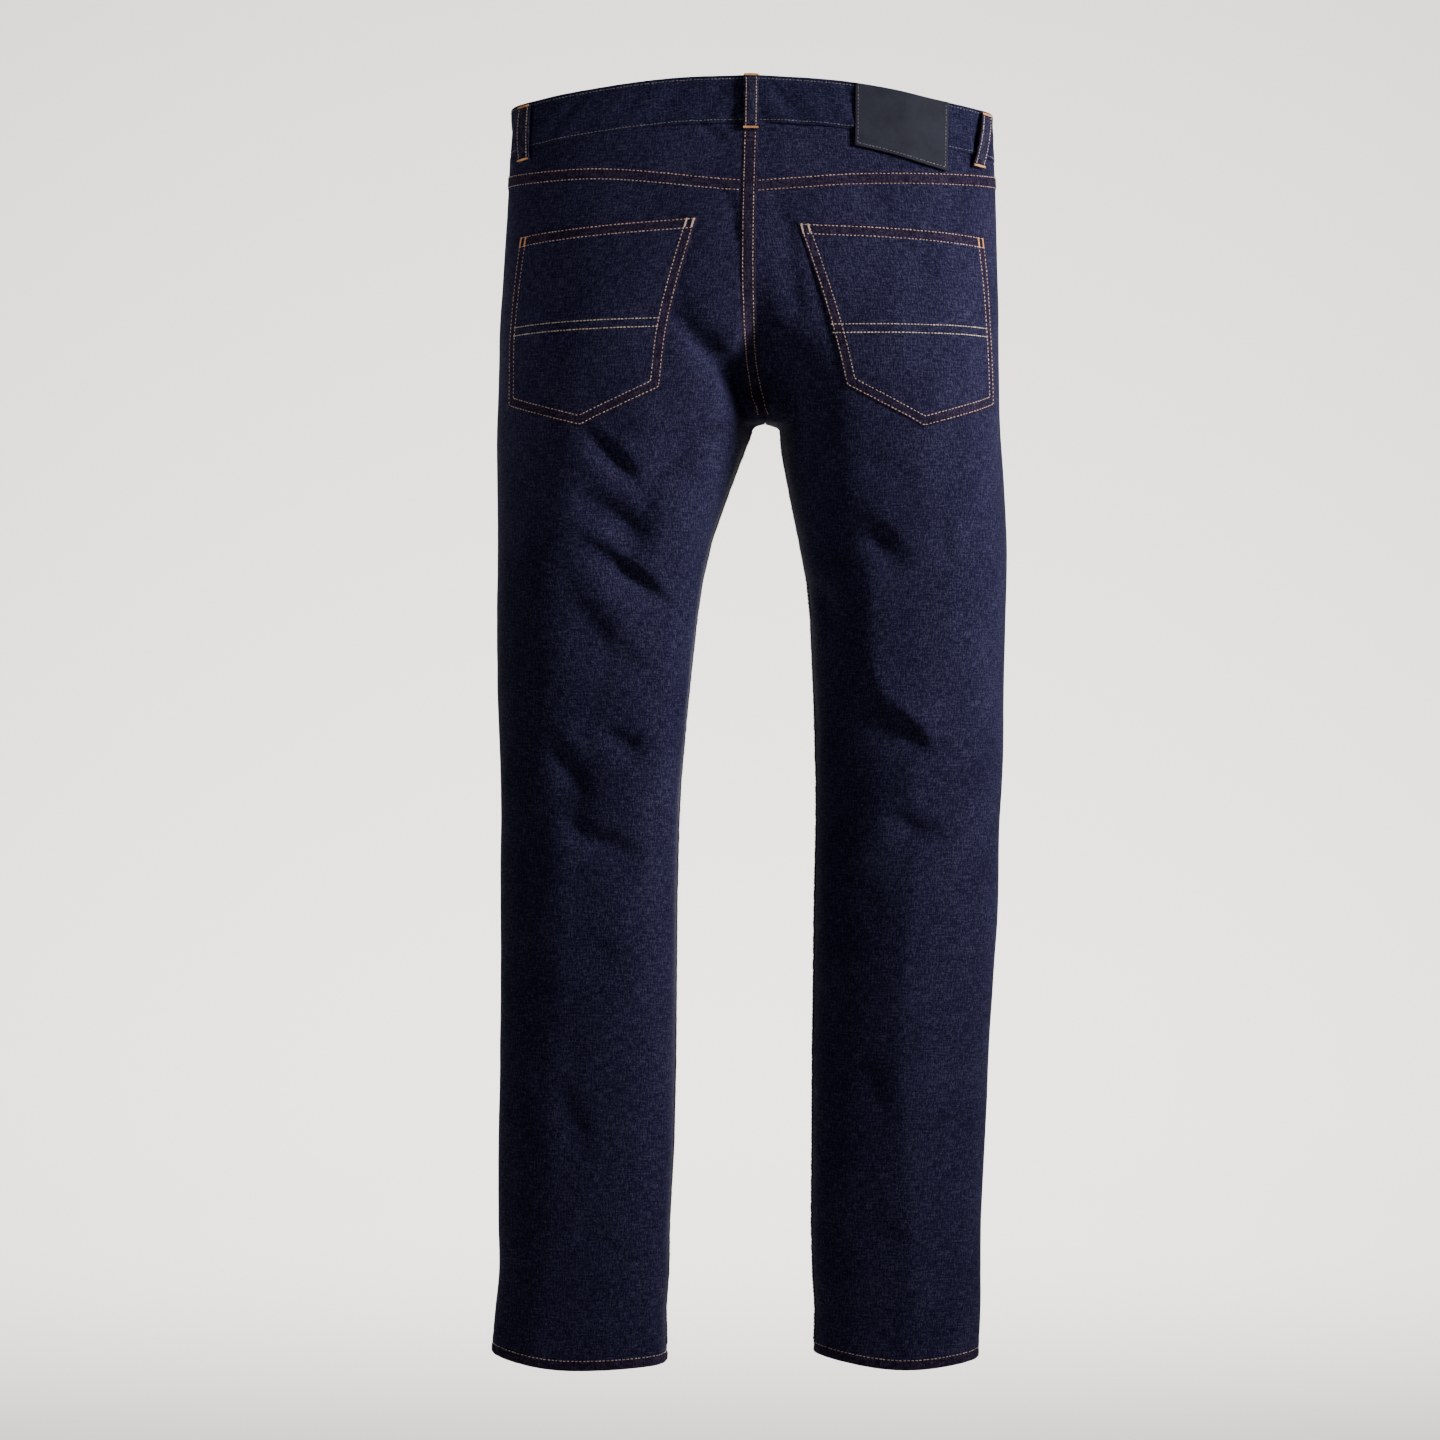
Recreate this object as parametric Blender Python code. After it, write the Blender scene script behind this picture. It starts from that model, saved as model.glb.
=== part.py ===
"""Slim fit jeans in dark denim, filled out with nobody in them.

The wearer faces -Y and stands along +Z, so +X is the wearer's left.  The origin is the middle of
the waistband ring, level with the side seams.  Every cloth piece is a thin wall lofted through
horizontal sections: two leg ovals that slide together above the crotch and become one waist oval.
Sizes are in millimetres and are turned into metres when a mesh is made.
"""
import math

import bmesh
import bpy
import numpy as np
from mathutils import Matrix, Vector

NAME = "slim_jeans"
MM = 0.001
SIGN = {"left": 1.0, "right": -1.0}

# ---- cloth and trim sizes ----
DENIM = 1.3                  # wall of one layer of denim
BAND_THICK = 2.2             # waistband, two layers
BAND_HEIGHT = 41.0
POCKET_THICK = 1.2
LOOP_THICK = 1.8
LOOP_WIDTH = 12.6
LOOP_STAND = 2.6             # how far a belt loop stands off the waistband at its middle
PATCH_THICK = 1.4
SEAM_GAP = 0.3               # neighbours keep this distance
PROUD_GAP = 0.92             # a piece that lies on a faceted panel clears its facets by this
HEM_EXTRA = 0.9              # the turned-up hem is this much thicker
HEM_DEEP = 12.0

# ---- heights ----
WAIST_LEVEL = 10.0
CROTCH_Z = -247.5
TABLE_TOP = 60.0
TABLE_BOTTOM = -1075.0
RISE_MERGE = 215.0           # above the crotch by this much the two leg ovals are one
RISE_POWER = 3.0
OVAL = 2.2                   # exponent of every oval section, 2 would be an ellipse
SEAT_BLEND = 7.0             # softens the valley between the two seat halves
SEAM_FORWARD = 12.0          # the side seam lies this far in front of the widest point
EASE_SPREAD = 26.0           # sections near the crotch are blended over about this height
EASE_HIGH = 60.0
EASE_START = 6.0             # from this far off the inner seams, fully after EASE_REACH more
EASE_REACH = 52.0
STRETCH_POWER = 4

# One row per section: how far the two sides reach from the origin, depth behind and in front of
# the side line, and how far the leg as a whole lies behind the origin.
SECTION_COLUMNS = ("z", "left", "right", "back", "front", "aft")
SECTIONS = (
    (60, 206.4, 205.6, 57, 50, 0),
    (20, 206.8, 206.4, 61, 54, 0),
    (-20, 207.4, 208.0, 69, 59, 0),
    (-60, 209.6, 209.0, 80, 65, 0),
    (-100, 212.2, 209.8, 90, 70, 0),
    (-140, 214.6, 210.4, 97, 74, 0),
    (-180, 217.0, 211.4, 99, 77, 0),
    (-215, 217.6, 212.4, 97, 78, -1),
    (-250, 219.0, 213.6, 93, 78, -2),
    (-290, 219.0, 216.8, 88, 76, -2),
    (-345, 218.2, 218.2, 81, 73, -1),
    (-415, 218.6, 216.8, 72, 68, 1),
    (-485, 217.6, 215.9, 64, 63, 3),
    (-530, 216.0, 215.4, 59, 58, 5),
    (-560, 215.2, 213.6, 56, 55, 7),
    (-590, 215.2, 211.4, 54, 53, 8),
    (-660, 216.0, 209.6, 52, 51, 11),
    (-725, 215.8, 205.5, 51, 49, 13),
    (-795, 216.2, 202.0, 49, 46, 13),
    (-865, 217.0, 199.4, 47, 44, 12),
    (-935, 216.8, 196.2, 44, 42, 10),
    (-975, 216.6, 196.0, 43, 41, 9),
    (-1005, 220.0, 196.0, 42, 40, 8),
    (-1040, 222.6, 194.3, 41, 39, 8),
    (-1075, 223.5, 194.0, 41, 39, 8),
)

# Distance of each leg's inner edge from the centre line, below the crotch.
GAP_COLUMNS = ("z", "left", "right")
GAPS = (
    (-247.5, 0.0, 0.0),
    (-248.2, 4.6, 4.8),
    (-249.5, 8.0, 8.4),
    (-251.5, 10.4, 10.6),
    (-256, 13.2, 12.0),
    (-265, 16.4, 12.8),
    (-278.5, 21.5, 14.9),
    (-313, 34.4, 21.5),
    (-347, 46.4, 28.4),
    (-382, 54.6, 35.0),
    (-416, 59.6, 38.4),
    (-485, 67.0, 41.3),
    (-554, 73.1, 43.0),
    (-590, 74.9, 43.0),
    (-657, 76.5, 41.4),
    (-795, 77.5, 39.6),
    (-865, 79.2, 39.4),
    (-932, 83.0, 38.9),
    (-975, 83.6, 40.0),
    (-1005, 86.0, 42.0),
    (-1075, 84.0, 40.0),
)

# The centre seam wanders a little to the wearer's right on its way down.
CENTRE_COLUMNS = ("z", "x")
CENTRE = (
    (60, 0.4),
    (0, 1.0),
    (-80, 3.0),
    (-150, 3.0),
    (-195, 0.5),
    (-225, -5.5),
    (-250, -12.0),
    (-275, -12.0),
    (-300, -12.0),
    (-1075, -12.0),
)

# Heights of the waistband's upper edge and of the yoke seam.  u runs round half the garment, from
# 0 at centre front through 0.5 at the side seam to 1 at centre back.
EDGE_COLUMNS = ("u", "left", "right")
WAIST_EDGE = (
    (0.0, 8.0, 7.5),
    (0.25, 12.0, 10.5),
    (0.5, 20.5, 15.5),
    (0.6, 25.2, 19.6),
    (0.68, 31.0, 25.6),
    (0.75, 35.4, 32.4),
    (0.85, 40.6, 39.2),
    (1.0, 43.4, 43.4),
)
YOKE_SEAM = (
    (0.5, -35.6, -35.0),
    (0.6, -36.0, -37.4),
    (0.75, -35.6, -39.2),
    (0.85, -39.8, -41.6),
    (0.92, -44.0, -44.8),
    (1.0, -47.8, -47.8),
)

# Lower edge of each leg: centre of the inseam, of the front, of the side seam and of the back.
HEM_COLUMNS = ("inseam", "front", "side", "back")
HEM_EDGE = {"left": (-1049.5, -1044.0, -1042.0, -1053.5), "right": (-1043.0, -1043.0, -1046.0, -1053.0)}

# Soft folds: the ends of each one seen from its side of the garment, its half-width and depth.
FOLD_COLUMNS = ("face", "x0", "z0", "x1", "z1", "width", "depth")
FOLDS = (
    ("back", 139, -259, 96, -306, 11, -4.5),
    ("back", 112, -250, 60, -262, 10, 2.5),
    ("back", 140, -321, 80, -347, 13, -4.5),
    ("back", 134, -351, 64, -412, 15, -5.0),
    ("back", 150, -380, 92, -432, 13, 2.5),
    ("back", 188, -341, 134, -383, 12, -3.0),
    ("back", 84, -309, 36, -287, 10, -3.0),
    ("back", 168, -511, 126, -572, 12, -3.5),
    ("back", 142, -592, 94, -618, 13, -4.0),
    ("back", 134, -518, 90, -524, 11, -3.0),
    ("back", -94, -342, -128, -370, 9, -3.0),
    ("back", -54, -382, -92, -434, 12, -4.0),
    ("back", -152, -500, -150, -546, 12, -3.5),
    ("back", -112, -586, -170, -604, 13, -3.0),
    ("back", 46, -168, 14, -226, 14, -5.0),
    ("back", -8, -168, -64, -250, 16, -5.5),
    ("front", 40, -226, 150, -176, 12, -4.0),
    ("front", -46, -228, -146, -172, 12, -3.6),
    ("front", 44, -262, 160, -236, 14, -4.0),
    ("front", -50, -262, -150, -242, 13, -4.4),
    ("front", 60, -306, 170, -318, 13, -3.0),
    ("front", -62, -300, -158, -322, 14, -2.6),
    ("front", 88, -540, 176, -566, 13, -3.4),
    ("front", -72, -552, -168, -532, 12, -3.6),
    ("front", 96, -606, 190, -590, 12, -3.0),
    ("front", -70, -618, -150, -602, 13, -2.6),
    ("front", 110, -960, 190, -975, 12, -2.6),
    ("front", -70, -984, -150, -968, 12, -2.6),
)

# Corners of the back pockets: distance along the cloth from the side seam, and height.
POCKET_COLUMNS = ("corner", "left", "left_z", "right", "right_z")
POCKET = (
    ("top_inner", 216.0, -81.0, 220.0, -83.8),
    ("top_outer", 57.0, -91.5, 53.5, -90.5),
    ("bottom_outer", 62.0, -235.0, 56.5, -233.8),
    ("tip", 137.0, -255.0, 134.0, -256.5),
    ("bottom_inner", 205.5, -224.3, 202.0, -222.0),
)

# Belt loops: distance along the cloth from the centre line of their face, at the upper and the
# lower end, and how far the upper end lies below the waistband's edge.
LOOP_COLUMNS = ("name", "side", "face", "arc_top", "arc_low", "drop")
LOOPS = (
    ("belt_loop_back", "left", "back", 0.5, 0.5, -0.8),
    ("belt_loop_back_left", "left", "back", 198.0, 199.5, 2.4),
    ("belt_loop_back_right", "right", "back", 208.0, 200.0, 2.4),
    ("belt_loop_front_left", "left", "front", 117.0, 118.5, 0.6),
    ("belt_loop_front_right", "right", "front", 119.0, 117.5, 0.4),
)
LOOP_LONG = 49.0

PATCH_ARC = (87.5, 169.0)    # right of centre back, along the cloth
PATCH_HANG = 14.5            # below the waistband's lower edge

POCKET_MOUTH_WIDE = 96.0     # front pocket: along the waistband from the side seam
POCKET_MOUTH_DEEP = 78.0     # and down the side seam
MOUTH_CURVE = 1.7            # 1 would be a straight slant
FACING_WIDE = 116.0
FACING_DEEP = 104.0
FACING_INSET = 1.4

FLY_WIDE = 42.0
FLY_BOTTOM = -176.0
UNDERLAP = 38.0              # the right end of the waistband passes under the left one
OVERLAP = 9.0                # and the left end reaches this far past the centre front
BAND_EASE = 62.0             # this far from the centre front the under layer is back in line
BAND_FREE = 13.0             # up to here it stays fully behind the left end
BAND_ROWS = 4
BUTTON_RADIUS = 8.5
BUTTON_ARC = 9.0             # left of the centre front
BUTTON_SIDES = 24
# Profile of the button from its seat outward: radius, height.
BUTTON_PROFILE = (
    (3.6, 0.0), (3.6, 1.4), (7.9, 1.4), (BUTTON_RADIUS, 2.0), (BUTTON_RADIUS, 2.8), (7.3, 3.5), (3.0, 3.9),
)

# ---- grid sizes ----
BACK_COLUMNS = 16
FRONT_COLUMNS = 13
RING_HALF = 72
SEAT_ROW = CROTCH_Z + 22.0
CROTCH_STEPS = (12.0, 5.0, 1.2, -0.9, -4.5, -12.0, -26.0)
LIFT_END = CROTCH_Z + 60.0   # rows between the top edge and here ease to level
HEM_EASE = -900.0            # and between here and the hem they take the hem's curve
HEM_BASE = -1048.0
# Rows on the way down to each height, closer where the cloth is creased.
BACK_ROWS = (
    (SEAT_ROW, 9), (-290.0, 1), (-440.0, 10), (-500.0, 3), (-625.0, 8), (-1000.0, 11), (-1036.0, 1),
    (HEM_BASE, 1),
)
FRONT_ROWS = (
    (-103.0, 9), (SEAT_ROW, 6), (-290.0, 1), (-340.0, 3), (-520.0, 6), (-625.0, 6), (-1000.0, 9),
    (-1036.0, 1), (HEM_BASE, 1),
)


def column(table, names, name):
    """One named column of a table as an array."""
    return np.array([row[names.index(name)] for row in table], dtype=float)


def smooth(x, xs, ys):
    """A smooth curve through (xs, ys), for xs in either order."""
    order = np.argsort(xs)
    xs = np.asarray(xs, dtype=float)[order]
    ys = np.asarray(ys, dtype=float)[order]
    slope = np.gradient(ys, xs)
    x = np.clip(np.asarray(x, dtype=float), xs[0], xs[-1])
    i = np.clip(np.searchsorted(xs, x) - 1, 0, len(xs) - 2)
    width = xs[i + 1] - xs[i]
    u = (x - xs[i]) / width
    start = (1 + 2 * u) * (1 - u) ** 2 * ys[i] + u * (1 - u) ** 2 * width * slope[i]
    end = u * u * (3 - 2 * u) * ys[i + 1] + u * u * (u - 1) * width * slope[i + 1]
    return start + end


def section(name, z):
    return smooth(z, column(SECTIONS, SECTION_COLUMNS, "z"), column(SECTIONS, SECTION_COLUMNS, name))


def centre_x(z):
    return smooth(z, column(CENTRE, CENTRE_COLUMNS, "z"), column(CENTRE, CENTRE_COLUMNS, "x"))


def gap(side, z):
    return np.interp(-z, -column(GAPS, GAP_COLUMNS, "z"), column(GAPS, GAP_COLUMNS, side))


def ring(side, z):
    """Half a section, from inner front round the side to inner back.

    Gives x from the centre line, y, and the distance along the cloth from the side seam, which is
    negative on the front.
    """
    wide = float(section(side, z)) - float(centre_x(z)) * SIGN[side]
    deep_back = float(section("back", z))
    deep_front = float(section("front", z))
    above = z - CROTCH_Z
    if above > 0:
        rise = math.sqrt(1 - (1 - min(above / RISE_MERGE, 1.0)) ** RISE_POWER)
        apart = (1 - rise ** OVAL) ** (1 / OVAL)
        half = wide / (1 + apart)
        middle = half * apart
        blend = SEAT_BLEND * math.sin(math.pi * min(above / RISE_MERGE, 1.0))
    else:
        inner = float(gap(side, z))
        half = (wide - inner) / 2
        middle = (wide + inner) / 2
        apart = 1.0
        blend = 0.0
    end = math.acos(-apart ** (OVAL / 2))
    angle = np.linspace(-end, end, 4 * RING_HALF + 1)
    c = np.cos(angle)
    s = np.sin(angle)
    x = middle + half * np.sign(c) * np.abs(c) ** (2 / OVAL)
    deep = np.where(s > 0, deep_back, deep_front)
    own = np.abs(s) ** (2 / OVAL)
    other = np.clip(1 - np.abs((x + middle) / half) ** OVAL, 0, 1) ** (1 / OVAL) if above > 0 else 0 * x
    soft = blend * np.clip(1 - (x / (0.6 * wide)) ** 2, 0, 1) ** 2
    depth = deep * (own + other) / 2 + np.sqrt((deep * (own - other) / 2) ** 2 + soft ** 2)
    y = np.sign(s) * depth + float(section("aft", z))
    length = np.concatenate(([0.0], np.cumsum(np.hypot(np.diff(x), np.diff(y)))))
    return x, y, length - length[2 * RING_HALF] + SEAM_FORWARD


def heights():
    """Heights of the dense sections: even, and crowded at the crotch."""
    near = np.array((0.0, 0.35, 0.9, 1.8, 3.0, 4.8, 7.0, 10.0, 13.5, 17.0))
    even = np.arange(TABLE_BOTTOM, TABLE_TOP + 0.1, 5.0)
    even = even[np.abs(even - CROTCH_Z) > near[-1] + 1.5]
    return np.unique(np.concatenate((even, CROTCH_Z + near, CROTCH_Z - near)))


def fold_push(face, x, z):
    """How far the folds move a point of one face outward."""
    push = np.zeros_like(x)
    for row in FOLDS:
        fold = dict(zip(FOLD_COLUMNS, row))
        if fold["face"] != face:
            continue
        along = np.array((fold["x1"] - fold["x0"], fold["z1"] - fold["z0"]), dtype=float)
        size = math.hypot(*along)
        u = ((x - fold["x0"]) * along[0] + (z - fold["z0"]) * along[1]) / size ** 2
        q = ((x - fold["x0"]) * along[1] - (z - fold["z0"]) * along[0]) / size
        taper = np.clip(1 - (2 * u - 1) ** 2, 0, 1) ** 1.5
        push += fold["depth"] * taper * np.exp(-(q / fold["width"]) ** 2)
    return push


def unit(vectors):
    return vectors / np.maximum(np.linalg.norm(vectors, axis=-1, keepdims=True), 1e-9)


class Skin:
    """The outer face of one side of the garment, as a dense grid of points and normals.

    u runs from 0 at the inner front (centre front, then the inseam) through 0.5 at the side seam
    to 1 at the inner back; z is the height of the section.
    """

    def __init__(self, side):
        self.side = side
        self.sign = SIGN[side]
        self.z = heights()
        self.u = np.linspace(0, 1, 2 * RING_HALF + 1)
        rows = [ring(side, z) for z in self.z]
        self.front_length = np.array([-row[2][0] for row in rows])
        self.back_length = np.array([row[2][-1] for row in rows])
        self.front_even = self.even_out(self.front_length)
        self.back_even = self.even_out(self.back_length)
        front = -self.arc(self.z[:, None], 1 - 2 * self.u[None, :RING_HALF], "front")
        back = self.arc(self.z[:, None], 2 * self.u[None, RING_HALF:] - 1, "back")
        arcs = np.concatenate((front, back), axis=1)
        x = np.array([np.interp(arc, row[2], row[0]) for arc, row in zip(arcs, rows)])
        y = np.array([np.interp(arc, row[2], row[1]) for arc, row in zip(arcs, rows)])
        z = np.repeat(self.z[:, None], x.shape[1], axis=1)
        x = self.ease_crotch(self.sign * x + centre_x(self.z)[:, None], arcs)
        y = self.ease_crotch(y, arcs)
        self.points = np.stack((x, y, z), axis=-1)
        self.normals = self.face_out()
        front = fold_push("front", x, z) * np.clip((0.47 - self.u) / 0.1, 0, 1)
        back = fold_push("back", x, z) * np.clip((self.u - 0.53) / 0.1, 0, 1)
        self.points = self.points + self.normals * (front + back)[..., None]
        rise = self.z > CROTCH_Z - 0.01
        for end in (0, -1):
            self.points[rise, end, 0] = centre_x(self.z[rise])
        self.normals = self.face_out()

    def even_out(self, values, spread=60.0):
        """Average a table over neighbouring heights."""
        apart = (self.z[:, None] - self.z[None, :]) / spread
        weight = np.exp(-apart ** 2) * np.gradient(self.z)[None, :]
        weight = weight / weight.sum(axis=1, keepdims=True)
        return weight @ values

    def arc(self, z, share, face):
        """Distance along the cloth from the side seam: even over most of a face, and near its
        inner edge stretched to the section's real length."""
        real, even = self.lengths(z, face)
        return even * share + (real - even) * share ** STRETCH_POWER

    def share(self, z, arc, face):
        """The inverse of arc()."""
        real, even = self.lengths(z, face)
        share = arc / real
        for _ in range(12):
            share = 0.5 * share + 0.5 * (arc - (real - even) * np.clip(share, 0, 1.2) ** STRETCH_POWER) / even
        return share

    def lengths(self, z, face):
        real = self.front_length if face == "front" else self.back_length
        even = self.front_even if face == "front" else self.back_even
        return np.interp(z, self.z, real), np.interp(z, self.z, even)

    def ease_crotch(self, values, arcs):
        """Blend the sections above and below the crotch, except close to the seams that meet there."""
        soft = self.even_out(values, EASE_SPREAD)
        end = np.where(arcs < 0, self.front_length[:, None], self.back_length[:, None])
        reach = np.clip((end - np.abs(arcs) - EASE_START) / EASE_REACH, 0, 1)
        level = np.clip(1.6 - np.abs(self.z - CROTCH_Z)[:, None] / EASE_HIGH, 0, 1)
        share = reach ** 2 * (3 - 2 * reach) * level
        return values * (1 - share) + soft * share

    def face_out(self):
        down = np.gradient(self.points, axis=0)
        round_ = np.gradient(self.points, axis=1)
        return unit(np.cross(round_, down) * self.sign)

    def look(self, table, z, u):
        """Read a dense table at any heights and positions."""
        z = np.clip(np.asarray(z, dtype=float), self.z[0], self.z[-1])
        u = np.clip(np.asarray(u, dtype=float), 0, 1)
        i = np.clip(np.searchsorted(self.z, z) - 1, 0, len(self.z) - 2)
        a = ((z - self.z[i]) / (self.z[i + 1] - self.z[i]))[..., None]
        step = u * (len(self.u) - 1)
        j = np.clip(step.astype(int), 0, len(self.u) - 2)
        b = (step - j)[..., None]
        low = table[i, j] * (1 - b) + table[i, j + 1] * b
        high = table[i + 1, j] * (1 - b) + table[i + 1, j + 1] * b
        return low * (1 - a) + high * a

    def at(self, z, u, out=0.0):
        """Points at heights z and positions u, moved out of the skin."""
        out = np.asarray(out, dtype=float)
        if out.ndim:
            out = out[..., None]
        return self.look(self.points, z, u) + unit(self.look(self.normals, z, u)) * out

    def u_side(self, z, arc):
        """Position of a point of the back this far along the cloth from the side seam."""
        return 0.5 + 0.5 * self.share(z, arc, "back")

    def u_back(self, z, arc):
        """The same, measured from the inner back edge."""
        return self.u_side(z, self.lengths(z, "back")[0] - arc)

    def u_front(self, z, arc):
        """Position of a point of the front this far from the inner front edge."""
        return 0.5 - 0.5 * self.share(z, self.lengths(z, "front")[0] - arc, "front")


def edge_z(table, side, u):
    """Height of the waistband's upper edge or of the yoke seam at position u."""
    return smooth(u, column(table, EDGE_COLUMNS, "u"), column(table, EDGE_COLUMNS, side))


def waist_z(side, u):
    return edge_z(WAIST_EDGE, side, u)


def hem_z(side, u):
    """Lower edge of a leg, a smooth closed curve round it."""
    values = dict(zip(HEM_COLUMNS, HEM_EDGE[side]))
    order = [values[name] for name in ("inseam", "front", "side", "back", "inseam")]
    return np.interp(u, np.linspace(0, 1, 121), ease_loop(order))


def ease_loop(values):
    """121 values that pass through five even stations with level tangents."""
    t = np.linspace(0, 4, 121)
    i = np.minimum(t.astype(int), 3)
    f = t - i
    f = (1 - np.cos(math.pi * f)) / 2
    values = np.array(values)
    return values[i] * (1 - f) + values[i + 1] * f


def mesh_object(name, vertices, faces, material, collection):
    mesh = bpy.data.meshes.new(name)
    mesh.from_pydata([tuple(v) for v in np.asarray(vertices) * MM], [], faces)
    mesh.materials.append(material)
    piece = bpy.data.objects.new(name, mesh)
    collection.objects.link(piece)
    sheet = bmesh.new()
    sheet.from_mesh(mesh)
    bmesh.ops.recalc_face_normals(sheet, faces=sheet.faces)
    sheet.to_mesh(mesh)
    sheet.free()
    mesh.shade_smooth()
    mesh.set_sharp_from_angle(angle=math.radians(40))
    return piece


def wall(name, outer, inner, material, collection):
    """A closed wall between two grids of points of the same size."""
    rows, cols = outer.shape[:2]
    count = rows * cols
    vertices = np.concatenate((outer.reshape(-1, 3), inner.reshape(-1, 3)))
    faces = []
    for r in range(rows - 1):
        for c in range(cols - 1):
            a = r * cols + c
            faces.append((a, a + 1, a + cols + 1, a + cols))
            faces.append((count + a, count + a + cols, count + a + cols + 1, count + a + 1))
    rim = [c for c in range(cols)]
    rim += [r * cols + cols - 1 for r in range(1, rows)]
    rim += [(rows - 1) * cols + c for c in range(cols - 2, -1, -1)]
    rim += [r * cols for r in range(rows - 2, 0, -1)]
    for a, b in zip(rim, rim[1:] + rim[:1]):
        faces.append((a, count + a, count + b, b))
    return mesh_object(name, vertices, faces, material, collection)


def keep_side(skin, points, z):
    """Keep a panel's points on its own side of the centre line, above the crotch."""
    x = (points[..., 0] - centre_x(z)) * skin.sign
    near = np.where(points[..., 2] > CROTCH_Z, np.maximum(x, SEAM_GAP / 2), x)
    points[..., 0] = centre_x(z) + near * skin.sign
    return points


def panel_rows(top, stops):
    """Base heights of a leg panel's rows; stops are (height reached, rows on the way)."""
    rows = [top]
    for height, count in stops:
        rows += list(np.linspace(rows[-1], height, count + 1)[1:])
        if height == SEAT_ROW:
            rows += [CROTCH_Z + step for step in CROTCH_STEPS]
    return np.array(rows)


def leg_panel(skin, name, u_edges, top_edge, columns, stops, material, collection):
    """A front or back panel.  u_edges(z, t) and top_edge(u) give its outline on the skin."""
    t = np.linspace(0, 1, columns)
    top = float(np.mean(top_edge(u_edges(-60.0, t))))
    base = panel_rows(top, stops)[:, None]
    lift = np.clip((base - LIFT_END) / (top - LIFT_END), 0, 1)
    drop = np.clip((HEM_EASE - base) / (HEM_EASE - HEM_BASE), 0, 1)
    z = base + 0 * t
    for _ in range(5):
        u = u_edges(z, t[None, :])
        z = base + lift * (top_edge(u) - top) + drop * (hem_z(skin.side, u) - HEM_BASE)
    thick = DENIM + HEM_EXTRA * np.clip((hem_z(skin.side, u) + HEM_DEEP - z) / 2 + 0.5, 0, 1)
    outer = keep_side(skin, skin.at(z, u), z)
    inner = keep_side(skin, skin.at(z, u, -thick), z)
    return wall(name, outer, inner, material, collection)


def back_panel(skin, material, collection):
    def edges(z, t):
        inset = SEAM_GAP / 4 / skin.lengths(z, "back")[0]
        return 0.5 + inset + (0.5 - 2 * inset) * t

    def top(u):
        return edge_z(YOKE_SEAM, skin.side, u) - SEAM_GAP / 2

    leg_panel(skin, "back_" + skin.side, edges, top, BACK_COLUMNS, BACK_ROWS, material, collection)


def mouth_u(skin, z):
    """Outer edge of the front panel: the side seam, and above it the curved pocket mouth."""
    low = waist_z(skin.side, 0.5) - BAND_HEIGHT - POCKET_MOUTH_DEEP
    up = np.clip((z - low) / POCKET_MOUTH_DEEP, 0, 1)
    inward = POCKET_MOUTH_WIDE * (1 - (1 - up) ** MOUTH_CURVE)
    return 0.5 - 0.5 * inward / skin.lengths(z, "front")[0]


def front_panel(skin, material, collection):
    def edges(z, t):
        inset = SEAM_GAP / 4 / skin.lengths(z, "front")[0]
        outer = mouth_u(skin, z) - inset
        return outer + (inset - outer) * t

    def top(u):
        return waist_z(skin.side, u) - BAND_HEIGHT - SEAM_GAP

    leg_panel(skin, "front_" + skin.side, edges, top, FRONT_COLUMNS, FRONT_ROWS, material, collection)


def yoke(skin, material, collection):
    columns = 16
    u = np.linspace(0.5, 1, columns)
    inset = SEAM_GAP / 4 / skin.lengths(-30.0, "back")[0]
    u = np.clip(u, 0.5 + inset, 1 - inset)
    high = waist_z(skin.side, u) - BAND_HEIGHT - SEAM_GAP
    low = edge_z(YOKE_SEAM, skin.side, u) + SEAM_GAP / 2
    rows = np.linspace(0, 1, 4)[:, None]
    z = high * (1 - rows) + low * rows
    u = np.repeat(u[None, :], len(rows), axis=0)
    outer = keep_side(skin, skin.at(z, u), z)
    inner = keep_side(skin, skin.at(z, u, -DENIM), z)
    wall("yoke_" + skin.side, outer, inner, material, collection)


def pocket_facing(skin, material, collection):
    """The denim that shows behind the front pocket's mouth."""
    rows = np.linspace(0, 1, 7)[:, None]
    t = np.linspace(0, 1, 8)[None, :]
    z = waist_z(skin.side, 0.5 - 0.1 * t) - BAND_HEIGHT - 1.0 - FACING_DEEP * rows
    length = skin.lengths(z, "front")[0]
    u = 0.5 - (FACING_INSET + 0.5 * FACING_WIDE * t) / length
    z = np.minimum(z, waist_z(skin.side, u) - BAND_HEIGHT - 1.0)
    depth = DENIM + PROUD_GAP
    outer = skin.at(z, u, -depth)
    inner = skin.at(z, u, -depth - POCKET_THICK)
    wall("pocket_facing_" + skin.side, outer, inner, material, collection)


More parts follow.
